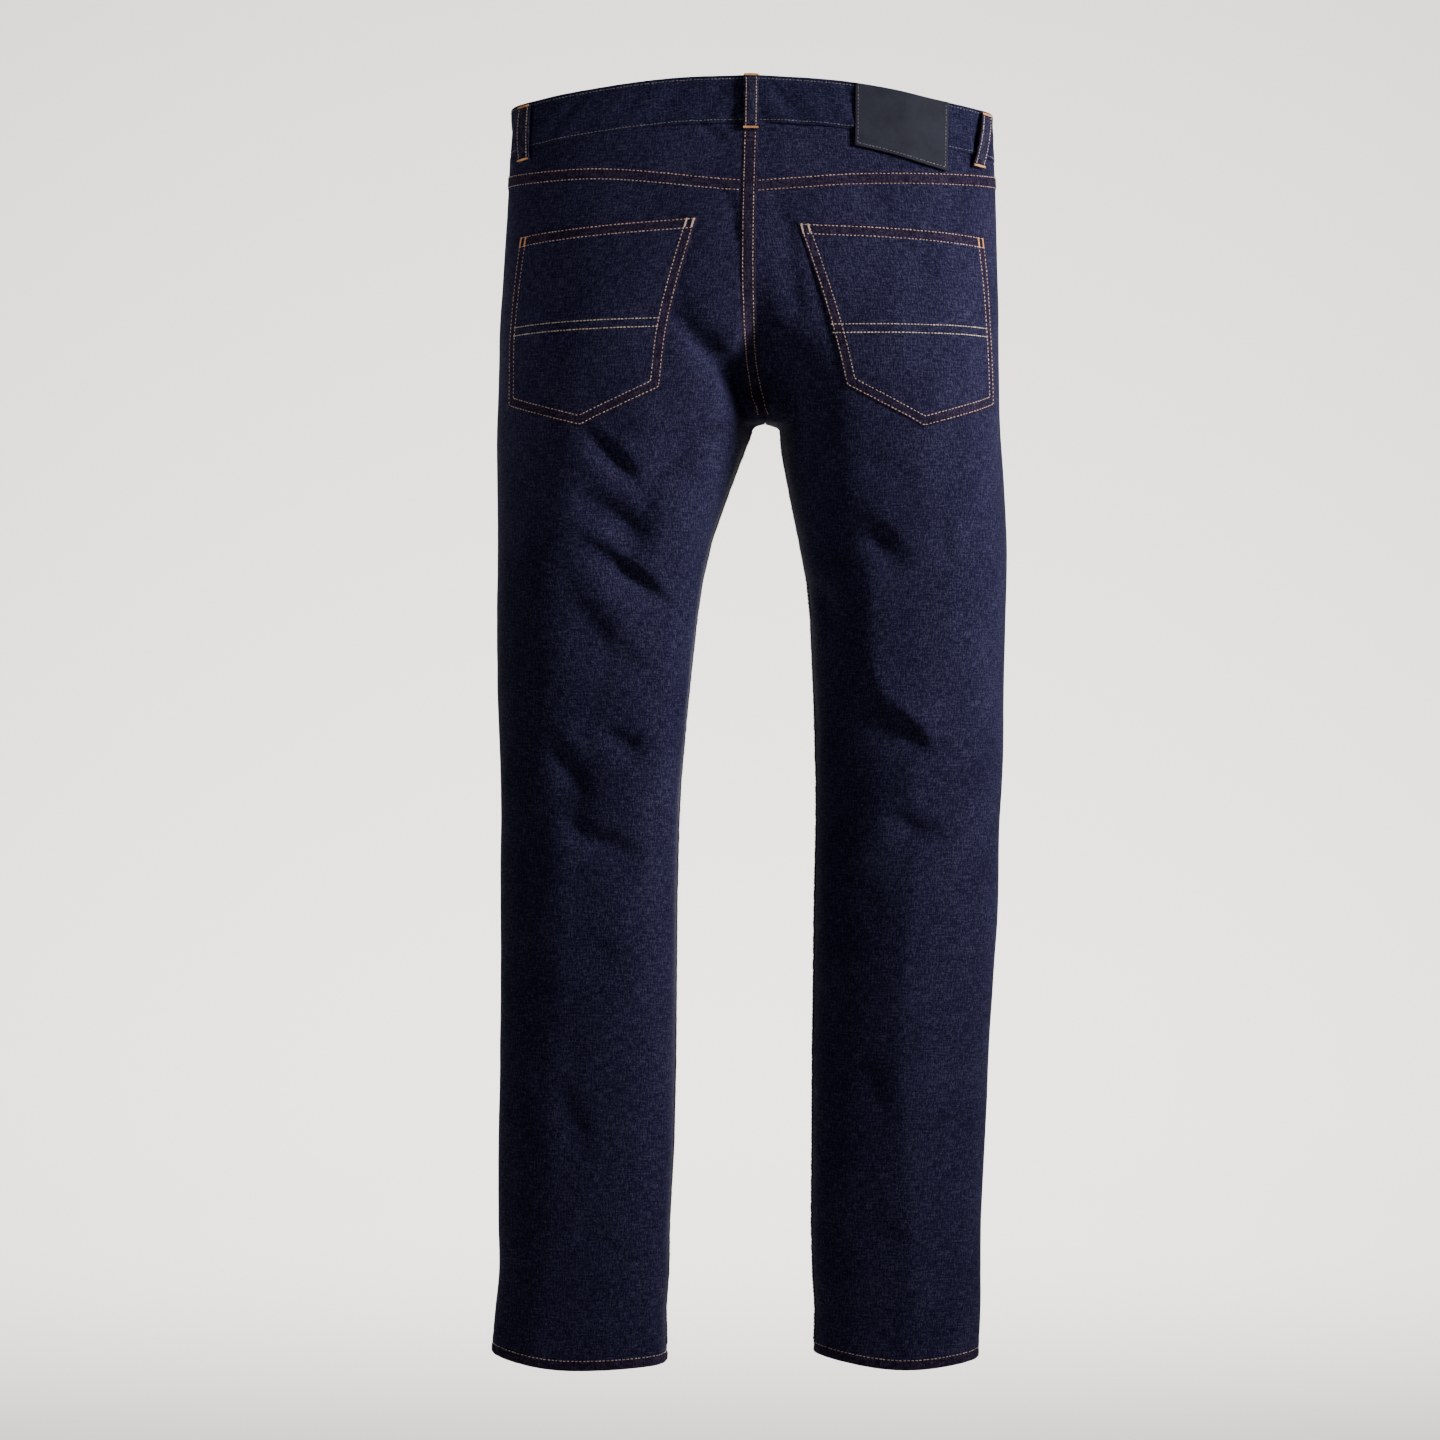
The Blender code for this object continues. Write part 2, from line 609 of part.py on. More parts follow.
def back_pocket(skin, material, collection):
    arcs = column(POCKET, POCKET_COLUMNS, skin.side)
    drops = column(POCKET, POCKET_COLUMNS, skin.side + "_z")
    corner = {row[0]: np.array(place) for row, place in zip(POCKET, zip(arcs, drops))}
    across = np.linspace(0, 1, 13)
    down = np.linspace(0, 1, 13)[:, None, None]
    top = corner["top_inner"] + (corner["top_outer"] - corner["top_inner"]) * across[:, None]
    tip = (corner["tip"][0] - corner["bottom_inner"][0])
    tip = tip / (corner["bottom_outer"][0] - corner["bottom_inner"][0])
    stops = (0.0, tip, 1.0)
    across_low = np.where(across < 0.5, across * 2 * tip, tip + (across - 0.5) * 2 * (1 - tip))
    low = [corner[name] for name in ("bottom_inner", "tip", "bottom_outer")]
    bottom = np.stack([np.interp(across_low, stops, [c[k] for c in low]) for k in (0, 1)], axis=-1)
    grid = top[None] * (1 - down) + bottom[None] * down
    z = grid[..., 1]
    u = skin.u_side(z, grid[..., 0])
    under = skin.at(z, u, PROUD_GAP)
    over = skin.at(z, u, PROUD_GAP + POCKET_THICK)
    wall("back_pocket_" + skin.side, over, under, material, collection)


def band_point(skins, side, u, drop, out):
    """A point of the waistband's outer face, drop below its upper edge."""
    skin = skins[side]
    z = waist_z(side, u) - drop
    return skin.at(z, u, out)


def waistband(skins, material, collection):
    """One strip: it starts under the left front, runs round the back and ends over its start."""
    front = {side: float(np.interp(0.0, s.z, s.front_length)) for side, s in skins.items()}
    inward = -(BAND_THICK + 2 * SEAM_GAP)
    stations = []
    for arc in (UNDERLAP, UNDERLAP / 2, 1.0):
        stations.append(("left", 0.5 * arc / front["left"], inward))
    for arc in (1.0, BAND_FREE, 26.0, 40.0, 52.0, BAND_EASE):
        out = np.clip((arc - BAND_FREE) / (BAND_EASE - BAND_FREE), 0, 1)
        stations.append(("right", 0.5 * arc / front["right"], inward * (1 - out) ** 2 * (1 + 2 * out)))
    start = 0.5 * BAND_EASE / front["right"]
    stations += [("right", u, 0.0) for u in np.linspace(start, 1, 33)[1:]]
    stations += [("left", u, 0.0) for u in np.linspace(1, 0, 37)[1:]]
    stations.append(("right", 0.5 * OVERLAP / front["right"], 0.0))
    outer = []
    inner = []
    for drop in np.linspace(0, BAND_HEIGHT, BAND_ROWS):
        outer.append([band_point(skins, side, u, drop, out) for side, u, out in stations])
        inner.append([band_point(skins, side, u, drop, out - BAND_THICK) for side, u, out in stations])
    wall("waistband", np.array(outer), np.array(inner), material, collection)


def fly_shield(skins, material, collection):
    """The strip behind the closed fly, sewn to the right front."""
    rows = np.linspace(0, 1, 9)
    cols = np.linspace(-0.35, 0.65, 6)
    depth = DENIM + PROUD_GAP
    outer = []
    inner = []
    for row in rows:
        line = []
        back = []
        for col in cols:
            side = "left" if col > 0 else "right"
            skin = skins[side]
            top = waist_z(side, 0.0) - BAND_HEIGHT - 1.0
            z = top + (FLY_BOTTOM - top) * row
            width = FLY_WIDE * (1 - 0.45 * row ** 3)
            u = skin.u_front(z, abs(col) * width)
            line.append(skin.at(z, u, -depth))
            back.append(skin.at(z, u, -depth - POCKET_THICK))
        outer.append(line)
        inner.append(back)
    wall("fly_shield", np.array(outer), np.array(inner), material, collection)


def belt_loop(skins, row, material, collection):
    """A narrow strap, sewn at the band's upper edge and just below its lower edge."""
    loop = dict(zip(LOOP_COLUMNS, row))
    rows = np.linspace(0, 1, 9)
    cols = np.linspace(-0.5, 0.5, 3)
    clear = SEAM_GAP + 0.25
    outer = []
    inner = []
    for r in rows:
        line = []
        back = []
        stand = clear + LOOP_STAND * math.sin(math.pi * r) ** 0.7
        for c in cols:
            arc = loop["arc_top"] * (1 - r) + loop["arc_low"] * r + c * LOOP_WIDTH
            side = loop["side"]
            if arc < 0:
                side = "right" if side == "left" else "left"
            skin = skins[side]
            place = skin.u_back if loop["face"] == "back" else skin.u_front
            z = waist_z(side, place(WAIST_LEVEL, abs(arc))) - loop["drop"] - LOOP_LONG * r
            u = place(z, abs(arc))
            line.append(skin.at(z, u, stand + LOOP_THICK))
            back.append(skin.at(z, u, stand))
        outer.append(line)
        inner.append(back)
    wall(loop["name"], np.array(outer), np.array(inner), material, collection)


def patch(skin, material, collection):
    rows = np.linspace(0, 1, 5)[:, None]
    arc = np.linspace(PATCH_ARC[0], PATCH_ARC[1], 11)[None, :]
    z = waist_z("right", skin.u_back(WAIST_LEVEL, arc)) - 0.6 - (BAND_HEIGHT + PATCH_HANG) * rows
    u = skin.u_back(z, arc)
    clear = SEAM_GAP + 0.3
    outer = skin.at(z, u, clear + PATCH_THICK)
    inner = skin.at(z, u, clear)
    wall("patch", outer, inner, material, collection)


def button(skins, material, collection):
    """Shank button at the overlapping ends of the waistband: a domed head on a short post."""
    skin = skins["left"]
    u = skin.u_front(0.0, BUTTON_ARC)
    z = waist_z("left", u) - BAND_HEIGHT / 2
    seat = skin.at(z, u, SEAM_GAP)
    normal = unit(skin.look(skin.normals, z, u))
    sheet = bmesh.new()
    rings = []
    for radius, height in BUTTON_PROFILE:
        ring_points = []
        for k in range(BUTTON_SIDES):
            angle = 2 * math.pi * k / BUTTON_SIDES
            place = Vector((radius * math.cos(angle), radius * math.sin(angle), height)) * MM
            ring_points.append(sheet.verts.new(place))
        rings.append(ring_points)
    for low, high in zip(rings, rings[1:]):
        for k in range(BUTTON_SIDES):
            after = (k + 1) % BUTTON_SIDES
            sheet.faces.new((low[k], low[after], high[after], high[k]))
    sheet.faces.new(list(reversed(rings[0])))
    sheet.faces.new(rings[-1])
    mesh = bpy.data.meshes.new("waist_button")
    sheet.to_mesh(mesh)
    sheet.free()
    mesh.materials.append(material)
    mesh.shade_smooth()
    mesh.set_sharp_from_angle(angle=math.radians(35))
    piece = bpy.data.objects.new("waist_button", mesh)
    turn = Vector(normal).to_track_quat("Z", "Y").to_matrix().to_4x4()
    piece.matrix_world = Matrix.Translation(Vector(seat) * MM) @ turn
    collection.objects.link(piece)


def make_material(name, colour, roughness, metallic=0.0):
    material = bpy.data.materials.new(name)
    material.use_nodes = True
    shader = material.node_tree.nodes["Principled BSDF"]
    shader.inputs["Base Color"].default_value = (*colour, 1.0)
    shader.inputs["Roughness"].default_value = roughness
    shader.inputs["Metallic"].default_value = metallic
    return material


def main():
    for old in list(bpy.data.objects):
        bpy.data.objects.remove(old, do_unlink=True)
    collection = bpy.data.collections.new(NAME)
    bpy.context.scene.collection.children.link(collection)
    shades = {
        "panel": (0.012, 0.015, 0.040),
        "yoke": (0.014, 0.017, 0.043),
        "pocket": (0.016, 0.018, 0.045),
        "band": (0.013, 0.015, 0.036),
        "loop": (0.018, 0.020, 0.048),
    }
    denim = {name: make_material("denim_" + name, shade, 0.88) for name, shade in shades.items()}
    leather = make_material("patch_leather", (0.035, 0.045, 0.062), 0.62)
    metal = make_material("button_metal", (0.42, 0.22, 0.12), 0.35, 1.0)
    skins = {side: Skin(side) for side in ("left", "right")}
    for skin in skins.values():
        back_panel(skin, denim["panel"], collection)
        front_panel(skin, denim["panel"], collection)
        yoke(skin, denim["yoke"], collection)
        pocket_facing(skin, denim["pocket"], collection)
        back_pocket(skin, denim["pocket"], collection)
    waistband(skins, denim["band"], collection)
    fly_shield(skins, denim["panel"], collection)
    for row in LOOPS:
        belt_loop(skins, row, denim["loop"], collection)
    patch(skins["right"], leather, collection)
    button(skins, metal, collection)


main()
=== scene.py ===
"""Slim fit jeans, filled out: thin cloth shells with their folds, seams and stitching.

The tables and the skin are those of the solids, at a finer resolution.  Lengths are in millimetres
until a mesh is made.  +Z is up and +Y is the side that the camera sees; u runs round half the
garment, from 0 at centre front (the inseam lower down) through 0.5 at the side seam to 1 at
centre back.
"""
import functools
import math

import bpy
import numpy as np
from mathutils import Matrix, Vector


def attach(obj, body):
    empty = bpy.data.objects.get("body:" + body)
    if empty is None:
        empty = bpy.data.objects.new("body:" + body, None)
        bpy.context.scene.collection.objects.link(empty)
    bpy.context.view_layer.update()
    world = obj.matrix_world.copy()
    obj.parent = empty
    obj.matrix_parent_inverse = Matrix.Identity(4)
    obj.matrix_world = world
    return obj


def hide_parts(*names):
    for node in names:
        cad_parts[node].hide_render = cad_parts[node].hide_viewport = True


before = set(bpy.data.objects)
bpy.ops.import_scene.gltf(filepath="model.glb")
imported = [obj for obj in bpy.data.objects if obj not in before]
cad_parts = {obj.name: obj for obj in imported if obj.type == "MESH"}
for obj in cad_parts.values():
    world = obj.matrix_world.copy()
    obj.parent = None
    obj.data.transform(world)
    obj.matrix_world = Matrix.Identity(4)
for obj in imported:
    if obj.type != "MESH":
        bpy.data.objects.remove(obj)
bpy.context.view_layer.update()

MM = 0.001
SIGN = {"left": 1.0, "right": -1.0}
SEED = 41


def columns(names, *rows):
    """A table as one array for each named column."""
    return dict(zip(names.split(), np.array(rows, dtype=float).T))


def records(names, *rows):
    """A table as one dictionary for each row."""
    return [dict(zip(names.split(), row)) for row in rows]


# ---- sizes shared with the solids ----
DENIM = 1.3                  # thickness of the legs' and yokes' cloth
BAND_THICK = 2.2
BAND_HEIGHT = 41.0
POCKET_THICK = 1.2
LOOP_THICK = 1.8
LOOP_WIDTH = 12.6
LOOP_STAND = 2.6             # how far a loop stands off the waistband at its middle
LOOP_LONG = 49.0
PATCH_THICK = 1.4
PATCH_ARC = (87.5, 169.0)    # its ends, along the cloth from the centre back
PATCH_HANG = 14.5            # how far it hangs below the waistband
SEAM_GAP = 0.3
PROUD_GAP = 0.92             # from the cloth to what lies behind it
HEM_EXTRA = 0.9              # the turned hem is thicker by this much
HEM_DEEP = 12.0
HEM_EASE = -900.0            # from here down the rows bend to the hem's edge
HEM_BASE = -1048.0
WAIST_LEVEL = 10.0           # the height at which places round the waist are measured
CROTCH_Z = -247.5
LIFT_END = CROTCH_Z + 60.0   # from here up the rows bend to the panel's upper edge
TABLE_TOP = 60.0
TABLE_BOTTOM = -1075.0
OVAL = 2.2                   # power of the sections' ovals
RISE_MERGE = 215.0           # above the crotch the two sides' ovals merge over this height
RISE_POWER = 3.0
SEAT_BLEND = 7.0
SEAM_FORWARD = 12.0          # the side seam lies this far in front of the widest point
EASE_SPREAD = 26.0           # the skin is evened out near the crotch, over these distances
EASE_HIGH = 60.0
EASE_START = 6.0
EASE_REACH = 52.0
STRETCH_POWER = 4            # the cloth's stretch is pushed towards the centre seams
POCKET_MOUTH_WIDE = 96.0     # the front pockets' mouths
POCKET_MOUTH_DEEP = 78.0
MOUTH_CURVE = 1.7
FACING_WIDE = 116.0
FACING_DEEP = 104.0
FACING_INSET = 1.4
FLY_WIDE = 42.0
FLY_BOTTOM = -176.0
UNDERLAP = 38.0              # the waistband's hidden and its outer end, past centre front
OVERLAP = 9.0
BAND_FREE = 13.0             # the hidden end comes out to the skin between these places
BAND_EASE = 62.0
BUTTON_ARC = 9.0

SECTIONS = columns(
    "z left right back front aft",
    (60, 206.4, 205.6, 57, 50, 0),
    (20, 206.8, 206.4, 61, 54, 0),
    (-20, 207.4, 208.0, 69, 59, 0),
    (-60, 209.6, 209.0, 80, 65, 0),
    (-100, 212.2, 209.8, 90, 70, 0),
    (-140, 214.6, 210.4, 97, 74, 0),
    (-180, 217.0, 211.4, 99, 77, 0),
    (-215, 217.6, 212.4, 97, 78, -1),
    (-250, 219.0, 213.6, 93, 78, -2),
    (-290, 219.0, 216.8, 88, 76, -2),
    (-345, 218.2, 218.2, 81, 73, -1),
    (-415, 218.6, 216.8, 72, 68, 1),
    (-485, 217.6, 215.9, 64, 63, 3),
    (-530, 216.0, 215.4, 59, 58, 5),
    (-560, 215.2, 213.6, 56, 55, 7),
    (-590, 215.2, 211.4, 54, 53, 8),
    (-660, 216.0, 209.6, 52, 51, 11),
    (-725, 215.8, 205.5, 51, 49, 13),
    (-795, 216.2, 202.0, 49, 46, 13),
    (-865, 217.0, 199.4, 47, 44, 12),
    (-935, 216.8, 196.2, 44, 42, 10),
    (-975, 216.6, 196.0, 43, 41, 9),
    (-1005, 220.0, 196.0, 42, 40, 8),
    (-1040, 222.6, 194.3, 41, 39, 8),
    (-1075, 223.5, 194.0, 41, 39, 8),
)
GAPS = columns(
    "z left right",
    (-247.5, 0.0, 0.0),
    (-248.2, 4.6, 4.8),
    (-249.5, 8.0, 8.4),
    (-251.5, 10.4, 10.6),
    (-256, 13.2, 12.0),
    (-265, 16.4, 12.8),
    (-278.5, 21.5, 14.9),
    (-313, 34.4, 21.5),
    (-347, 46.4, 28.4),
    (-382, 54.6, 35.0),
    (-416, 59.6, 38.4),
    (-485, 67.0, 41.3),
    (-554, 73.1, 43.0),
    (-590, 74.9, 43.0),
    (-657, 76.5, 41.4),
    (-795, 77.5, 39.6),
    (-865, 79.2, 39.4),
    (-932, 83.0, 38.9),
    (-975, 83.6, 40.0),
    (-1005, 86.0, 42.0),
    (-1075, 84.0, 40.0),
)
CENTRE = columns(
    "z x",
    (60, 0.4), (0, 1.0), (-80, 3.0), (-150, 3.0), (-195, 0.5),
    (-225, -5.5), (-250, -12.0), (-275, -12.0), (-300, -12.0), (-1075, -12.0),
)
WAIST_EDGE = columns(
    "u left right",
    (0.0, 8.0, 7.5),
    (0.25, 12.0, 10.5),
    (0.5, 20.5, 15.5),
    (0.6, 25.2, 19.6),
    (0.68, 31.0, 25.6),
    (0.75, 35.4, 32.4),
    (0.85, 40.6, 39.2),
    (1.0, 43.4, 43.4),
)
YOKE_SEAM = columns(
    "u left right",
    (0.5, -35.6, -35.0),
    (0.6, -36.0, -37.4),
    (0.75, -35.6, -39.2),
    (0.85, -39.8, -41.6),
    (0.92, -44.0, -44.8),
    (1.0, -47.8, -47.8),
)
# The hem at the inseam, the front crease, the side seam, the back crease and the inseam again.
HEM_EDGE = {
    "left": (-1049.5, -1044.0, -1042.0, -1053.5, -1049.5),
    "right": (-1043.0, -1043.0, -1046.0, -1053.0, -1043.0),
}

FOLDS = records(
    "face x0 z0 x1 z1 width depth",
    ("back", 139, -259, 96, -306, 14, -3.0),
    ("back", 112, -250, 60, -262, 12, 2.0),
    ("back", 140, -321, 80, -347, 16, -2.6),
    ("back", 134, -351, 64, -412, 18, -3.0),
    ("back", 150, -380, 92, -432, 16, 2.5),
    ("back", 188, -341, 134, -383, 16, -2.0),
    ("back", 84, -309, 36, -287, 12, -1.6),
    ("back", 168, -511, 126, -572, 16, -2.0),
    ("back", 142, -592, 94, -618, 15, -2.4),
    ("back", 134, -518, 90, -524, 12, -1.6),
    ("back", -94, -342, -128, -370, 16, -1.6),
    ("back", -54, -382, -92, -434, 14, -2.4),
    ("back", -152, -500, -150, -546, 14, -2.0),
    ("back", -112, -586, -170, -604, 15, -1.6),
    ("back", 46, -168, 14, -226, 16, -3.0),
    ("back", -8, -168, -64, -250, 18, -3.0),
    ("front", 40, -226, 150, -176, 12, -4.0),
    ("front", -46, -228, -146, -172, 12, -3.6),
    ("front", 44, -262, 160, -236, 14, -4.0),
    ("front", -50, -262, -150, -242, 13, -4.4),
    ("front", 60, -306, 170, -318, 13, -3.0),
    ("front", -62, -300, -158, -322, 14, -2.6),
    ("front", 88, -540, 176, -566, 13, -3.4),
    ("front", -72, -552, -168, -532, 12, -3.6),
    ("front", 96, -606, 190, -590, 12, -3.0),
    ("front", -70, -618, -150, -602, 13, -2.6),
    ("front", 110, -960, 190, -975, 12, -2.6),
    ("front", -70, -984, -150, -968, 12, -2.6),
)

# Creases that only the cloth has: a line from end to end, its bow to the steep side, the
# half-widths of the steep and the soft side, the depth, and the height of the lip beyond the
# steep side.
CREASES = records(
    "face x0 z0 x1 z1 bow steep soft depth lip",
    ("back", 146, -250, 90, -314, 3, 3.6, 10, -5.4, 1.0),
    ("back", 110, -266, 46, -259, 1, 6.0, 12, -3.6, 0.6),
    ("back", 150, -312, 80, -350, -2, 10.0, 16, -8.0, 1.1),
    ("back", 120, -330, 82, -352, 1, 5.0, 12, -1.8, 0.0),
    ("back", 158, -342, 56, -416, 4, 4.2, 15, -7.4, 1.3),
    ("back", 24, -254, 100, -320, -4, 9.0, 14, -7.0, 0.8),
    ("back", 94, -294, 87, -350, 0, 8.0, 16, -1.6, 0.0),
    ("back", 192, -342, 130, -444, 4, 12.0, 22, -1.5, 0.3),
    ("back", 152, -398, 116, -456, 2, 10.0, 20, -2.4, 0.4),
    ("back", 124, -428, 68, -504, 2, 9.0, 18, -2.4, 0.4),
    ("back", 134, -512, 88, -530, 1, 7.0, 13, -4.4, 0.7),
    ("back", 184, -506, 140, -574, 3, 7.0, 16, -5.4, 0.9),
    ("back", 162, -586, 90, -622, -2, 8.0, 16, -5.6, 0.8),
    ("back", 172, -558, 138, -602, 2, 10.0, 18, -1.6, 0.3),
    ("back", 150, -690, 100, -716, 2, 9.0, 18, -2.4, 0.4),
    ("back", 170, -800, 140, -870, 2, 9.0, 18, -2.4, 0.4),
    ("back", 150, -930, 104, -962, 2, 9.0, 18, -2.2, 0.4),
    ("back", -76, -330, -132, -378, 2, 10.0, 18, -6.2, 0.8),
    ("back", -159, -330, -163, -378, 1, 5.0, 10, -2.8, 0.5),
    ("back", -48, -378, -84, -436, 1, 6.0, 8, -3.4, 0.5),
    ("back", -90, -287, -142, -291, 1, 7.0, 12, -2.6, 0.4),
    ("back", -76, -490, -152, -528, 2, 9.0, 24, -5.2, 0.7),
    ("back", -108, -586, -172, -608, 2, 8.0, 16, -5.0, 0.7),
    ("back", -70, -640, -116, -668, 2, 9.0, 18, -1.4, 0.3),
    ("back", -84, -780, -120, -850, 2, 10.0, 18, -2.2, 0.4),
    ("back", -96, -930, -140, -956, 2, 9.0, 18, -2.2, 0.4),
    ("back", 74, -150, -6, -240, -4, 11.0, 8, -11.5, 1.0),
    ("back", 32, -52, 8, -86, 1, 4.0, 6, -1.8, 0.5),
    ("back", 24, -78, 6, -112, 1, 4.5, 7, -1.8, 0.5),
    ("back", -18, -54, -34, -126, 2, 5.0, 8, -2.2, 0.5),
    ("back", -26, -120, -44, -168, 1, 5.0, 8, -2.0, 0.4),
    ("back", 46, 6, 22, -22, 1, 4.0, 6, -1.9, 0.5),
    ("back", -22, 16, -46, -14, 2, 4.5, 7, -1.7, 0.6),
    ("back", -50, 22, -64, -4, 1, 4.0, 6, -1.4, 0.4),
    ("back", -70, 6, -96, -18, 1, 4.5, 7, -1.1, 0.3),
    ("back", -138, -104, -147, -236, 0, 15.0, 18, -2.4, 0.0),
    ("back", -118, -500, -150, -545, 4, 6.0, 14, -3.4, 0.8),
    ("front", 30, -206, 120, -170, 5, 5.5, 11, -4.9, 1.5),
    ("front", -34, -208, -118, -166, -5, 5.5, 11, -4.5, 1.5),
    ("front", 34, -238, 140, -214, 4, 6.5, 13, -5.4, 1.5),
    ("front", -38, -240, -140, -214, -4, 6.5, 13, -5.4, 1.5),
    ("front", 50, -282, 150, -272, 4, 7.0, 14, -4.4, 1.1),
    ("front", -56, -280, -150, -276, -3, 7.0, 14, -4.0, 1.1),
    ("front", 96, -520, 170, -532, 3, 7.0, 14, -3.9, 1.0),
    ("front", -76, -526, -160, -518, -3, 7.0, 14, -3.9, 1.0),
    ("front", 100, -578, 180, -584, 3, 7.0, 14, -4.0, 1.1),
    ("front", -74, -588, -156, -574, 3, 7.0, 14, -4.0, 1.1),
    ("front", 104, -640, 176, -626, 2, 8.0, 16, -2.8, 0.8),
    ("front", -76, -650, -150, -640, 2, 8.0, 16, -2.8, 0.8),
    ("front", 120, -990, 184, -1002, 2, 7.0, 14, -3.3, 1.0),
    ("front", -84, -1006, -146, -996, 2, 7.0, 14, -3.3, 1.0),
)

# Long soft edges down the legs where the cloth turns: face, side, height, half-widths towards +X
# and -X, how round the edge is, and its course as heights and places.
RIDGES = records(
    "face side high plus minus round z x",
    ("back", "right", 8.6, 38, 34, 0.10,
     (-1060, -900, -800, -700, -600, -536, -506, -484, -434, -361, -307, -200),
     (-138, -131, -127, -130, -138, -135, -141, -116, -100, -98, -79, -84)),
    ("back", "left", 5.0, 34, 50, 0.25, (-1060, -910, -825, -740, -655, -570, -476, -350, -250),
     (180, 173, 167, 160, 157, 163, 176, 172, 164)),
    ("back", "left", 7.0, 62, 24, 0.30, (-1060, -865, -657, -485, -382, -313, -260),
     (90, 88, 86, 80, 68, 48, 36)),
    ("front", "left", 3.0, 44, 44, 0.3, (-1060, -800, -600, -400, -250), (150, 148, 146, 140, 128)),
    ("front", "right", 3.0, 44, 44, 0.3, (-1060, -800, -600, -400, -250),
     (-122, -122, -126, -128, -120)),
)
RIDGE_STRENGTH = (
    (-1060, -980, -640, -520, -420, -300, -190),
    (0.55, 0.75, 0.9, 1.2, 1.05, 0.9, 0.0))
# How much fuller the back of the left leg is beside its inseam, by height.
INSEAM_FULL = ((-1075, -700, -420, -330, -288, -258), (9, 15, 19, 17, 6, 0))
# The hollow under the seat: its lowest line, its depth there and its reach towards +X and -X.
CLEFT = columns(
    "z x depth plus minus",
    (-340, -12, 0.0, 24, 52),
    (-290, -10, 11.0, 22, 52),
    (-255, -3, 21.0, 22, 54),
    (-232, 5, 26.0, 22, 64),
    (-221, 8, 26.0, 22, 67),
    (-206, 9, 24.0, 20, 62),
    (-190, 2, 16.0, 16, 40),
    (-178, -2, 9.0, 14, 24),
    (-157, -3, 3.0, 14, 13),
    (-125, 2, 0.0, 16, 14),
)
POCKET = records(
    "corner left left_z right right_z",
    ("top_inner", 215.0, -80.4, 223.6, -85.6),
    ("top_outer", 56.5, -91.5, 54.0, -91.8),
    ("bottom_outer", 62.5, -237.0, 56.5, -235.4),
    ("tip", 139.5, -256.2, 138.0, -257.0),
    ("bottom_inner", 205.0, -224.3, 200.5, -222.0),
)
LOOPS = records(
    "name side face arc_top arc_low drop",
    ("belt_loop_back", "left", "back", 0.5, 0.5, -0.8),
    ("belt_loop_back_left", "left", "back", 198.0, 199.5, 2.4),
    ("belt_loop_back_right", "right", "back", 208.0, 200.0, 2.4),
    ("belt_loop_front_left", "left", "front", 117.0, 118.5, 0.6),
    ("belt_loop_front_right", "right", "front", 119.0, 117.5, 0.4),
)

# ---- sizes of the cloth ----
TUCK = 3.2                   # how far an edge runs on under what covers it
TUCK_SINK = 1.35
TABLE_STEP = 2.5             # between the skin's rows
RING_HALF = 130              # points round the front or the back of one side
CLOTH_STEP = 3.3             # mesh size of the cloth, and its finer steps beside an edge
EDGE_STEPS = (0.0, 0.45, 1.1, 2.0, 3.3, 5.0, 7.0, 9.2, 11.6, 14.2)
BACK_WIDE = 250.0            # widths that the meshes' columns are graded over
FRONT_WIDE = 220.0
FOLD_ROUND = 0.38            # an edge of folded cloth is rounded off by this much
BAND_LIFT = 0.45             # the waistband's outer layer lies over the panels' edges
LAP_RISE = 0.8               # a felled seam stands up by this much
LAP_WIDE = 12.5
CENTRE_STRIP = (6.6, 0.9)    # half-width and shift of the centre seam's fold
INSEAM_STRIP = (6.2, 1.0)
SEAM_LOW = -1034.0
POCKET_LONG = 160.0
POCKET_BOW = 2.2             # a back pocket's inner edge bows out by this much
POCKET_OUT = 0.35 + POCKET_THICK
POCKET_RIM = 9.6             # its sewn rim, which is darker
PATCH_LONG = 55.5
PATCH_SLANT = 5.8            # the patch is longer at its outer end by this much
LEAST_CUT = 0.0101           # metres

# ---- where the stitches run ----
STITCH_LONG = 2.25
STITCH_PITCH = 3.3
STITCH_RADIUS = 0.36
YOKE_ROWS = (1.7, 10.3)      # below the yoke's edge
YOKE_ROW_CLEAR = {"left": 8.2, "right": 6.2}    # where they end beside the centre seam
YOKE_END = -52.0             # the centre seam's right row is paler below this
CENTRE_ROWS = {"left": 5.2, "right": 3.3}
INSEAM_ROWS = {"back": 5.0, "front": 3.0}
HEM_ROW = 8.4                # above the hem's edge
MOUTH_ROWS = (2.0, 8.0)      # from the edge of a front pocket's mouth
FLY_ROWS = (37.0, 31.0)      # from the centre front
FLY_EDGE_ROWS = (2.2, 8.6)
BAND_ROWS = (2.9, 38.2)      # below the waistband's upper edge
LOOP_ROW = 0.34              # a share of the loop's width, off its middle
POCKET_ROWS = ((1.9, 1.9, 1.9, 1.9), (8.6, 8.8, 8.8, 8.8))    # from each edge of a back pocket
POCKET_MOUTH_ROWS = (2.0, 9.8)
POCKET_CROSS_ROWS = (78.0, 85.0)


# ---- the skin, as in the solids ----
def smooth(x, xs, ys):
    """A smooth curve through (xs, ys), for xs in either order."""
    order = np.argsort(xs)
    xs = np.asarray(xs, dtype=float)[order]
    ys = np.asarray(ys, dtype=float)[order]
    slope = np.gradient(ys, xs)
    x = np.clip(np.asarray(x, dtype=float), xs[0], xs[-1])
    i = np.clip(np.searchsorted(xs, x) - 1, 0, len(xs) - 2)
    width = xs[i + 1] - xs[i]
    u = (x - xs[i]) / width
    start = (1 + 2 * u) * (1 - u) ** 2 * ys[i] + u * (1 - u) ** 2 * width * slope[i]
    end = u * u * (3 - 2 * u) * ys[i + 1] + u * u * (u - 1) * width * slope[i + 1]
    return start + end


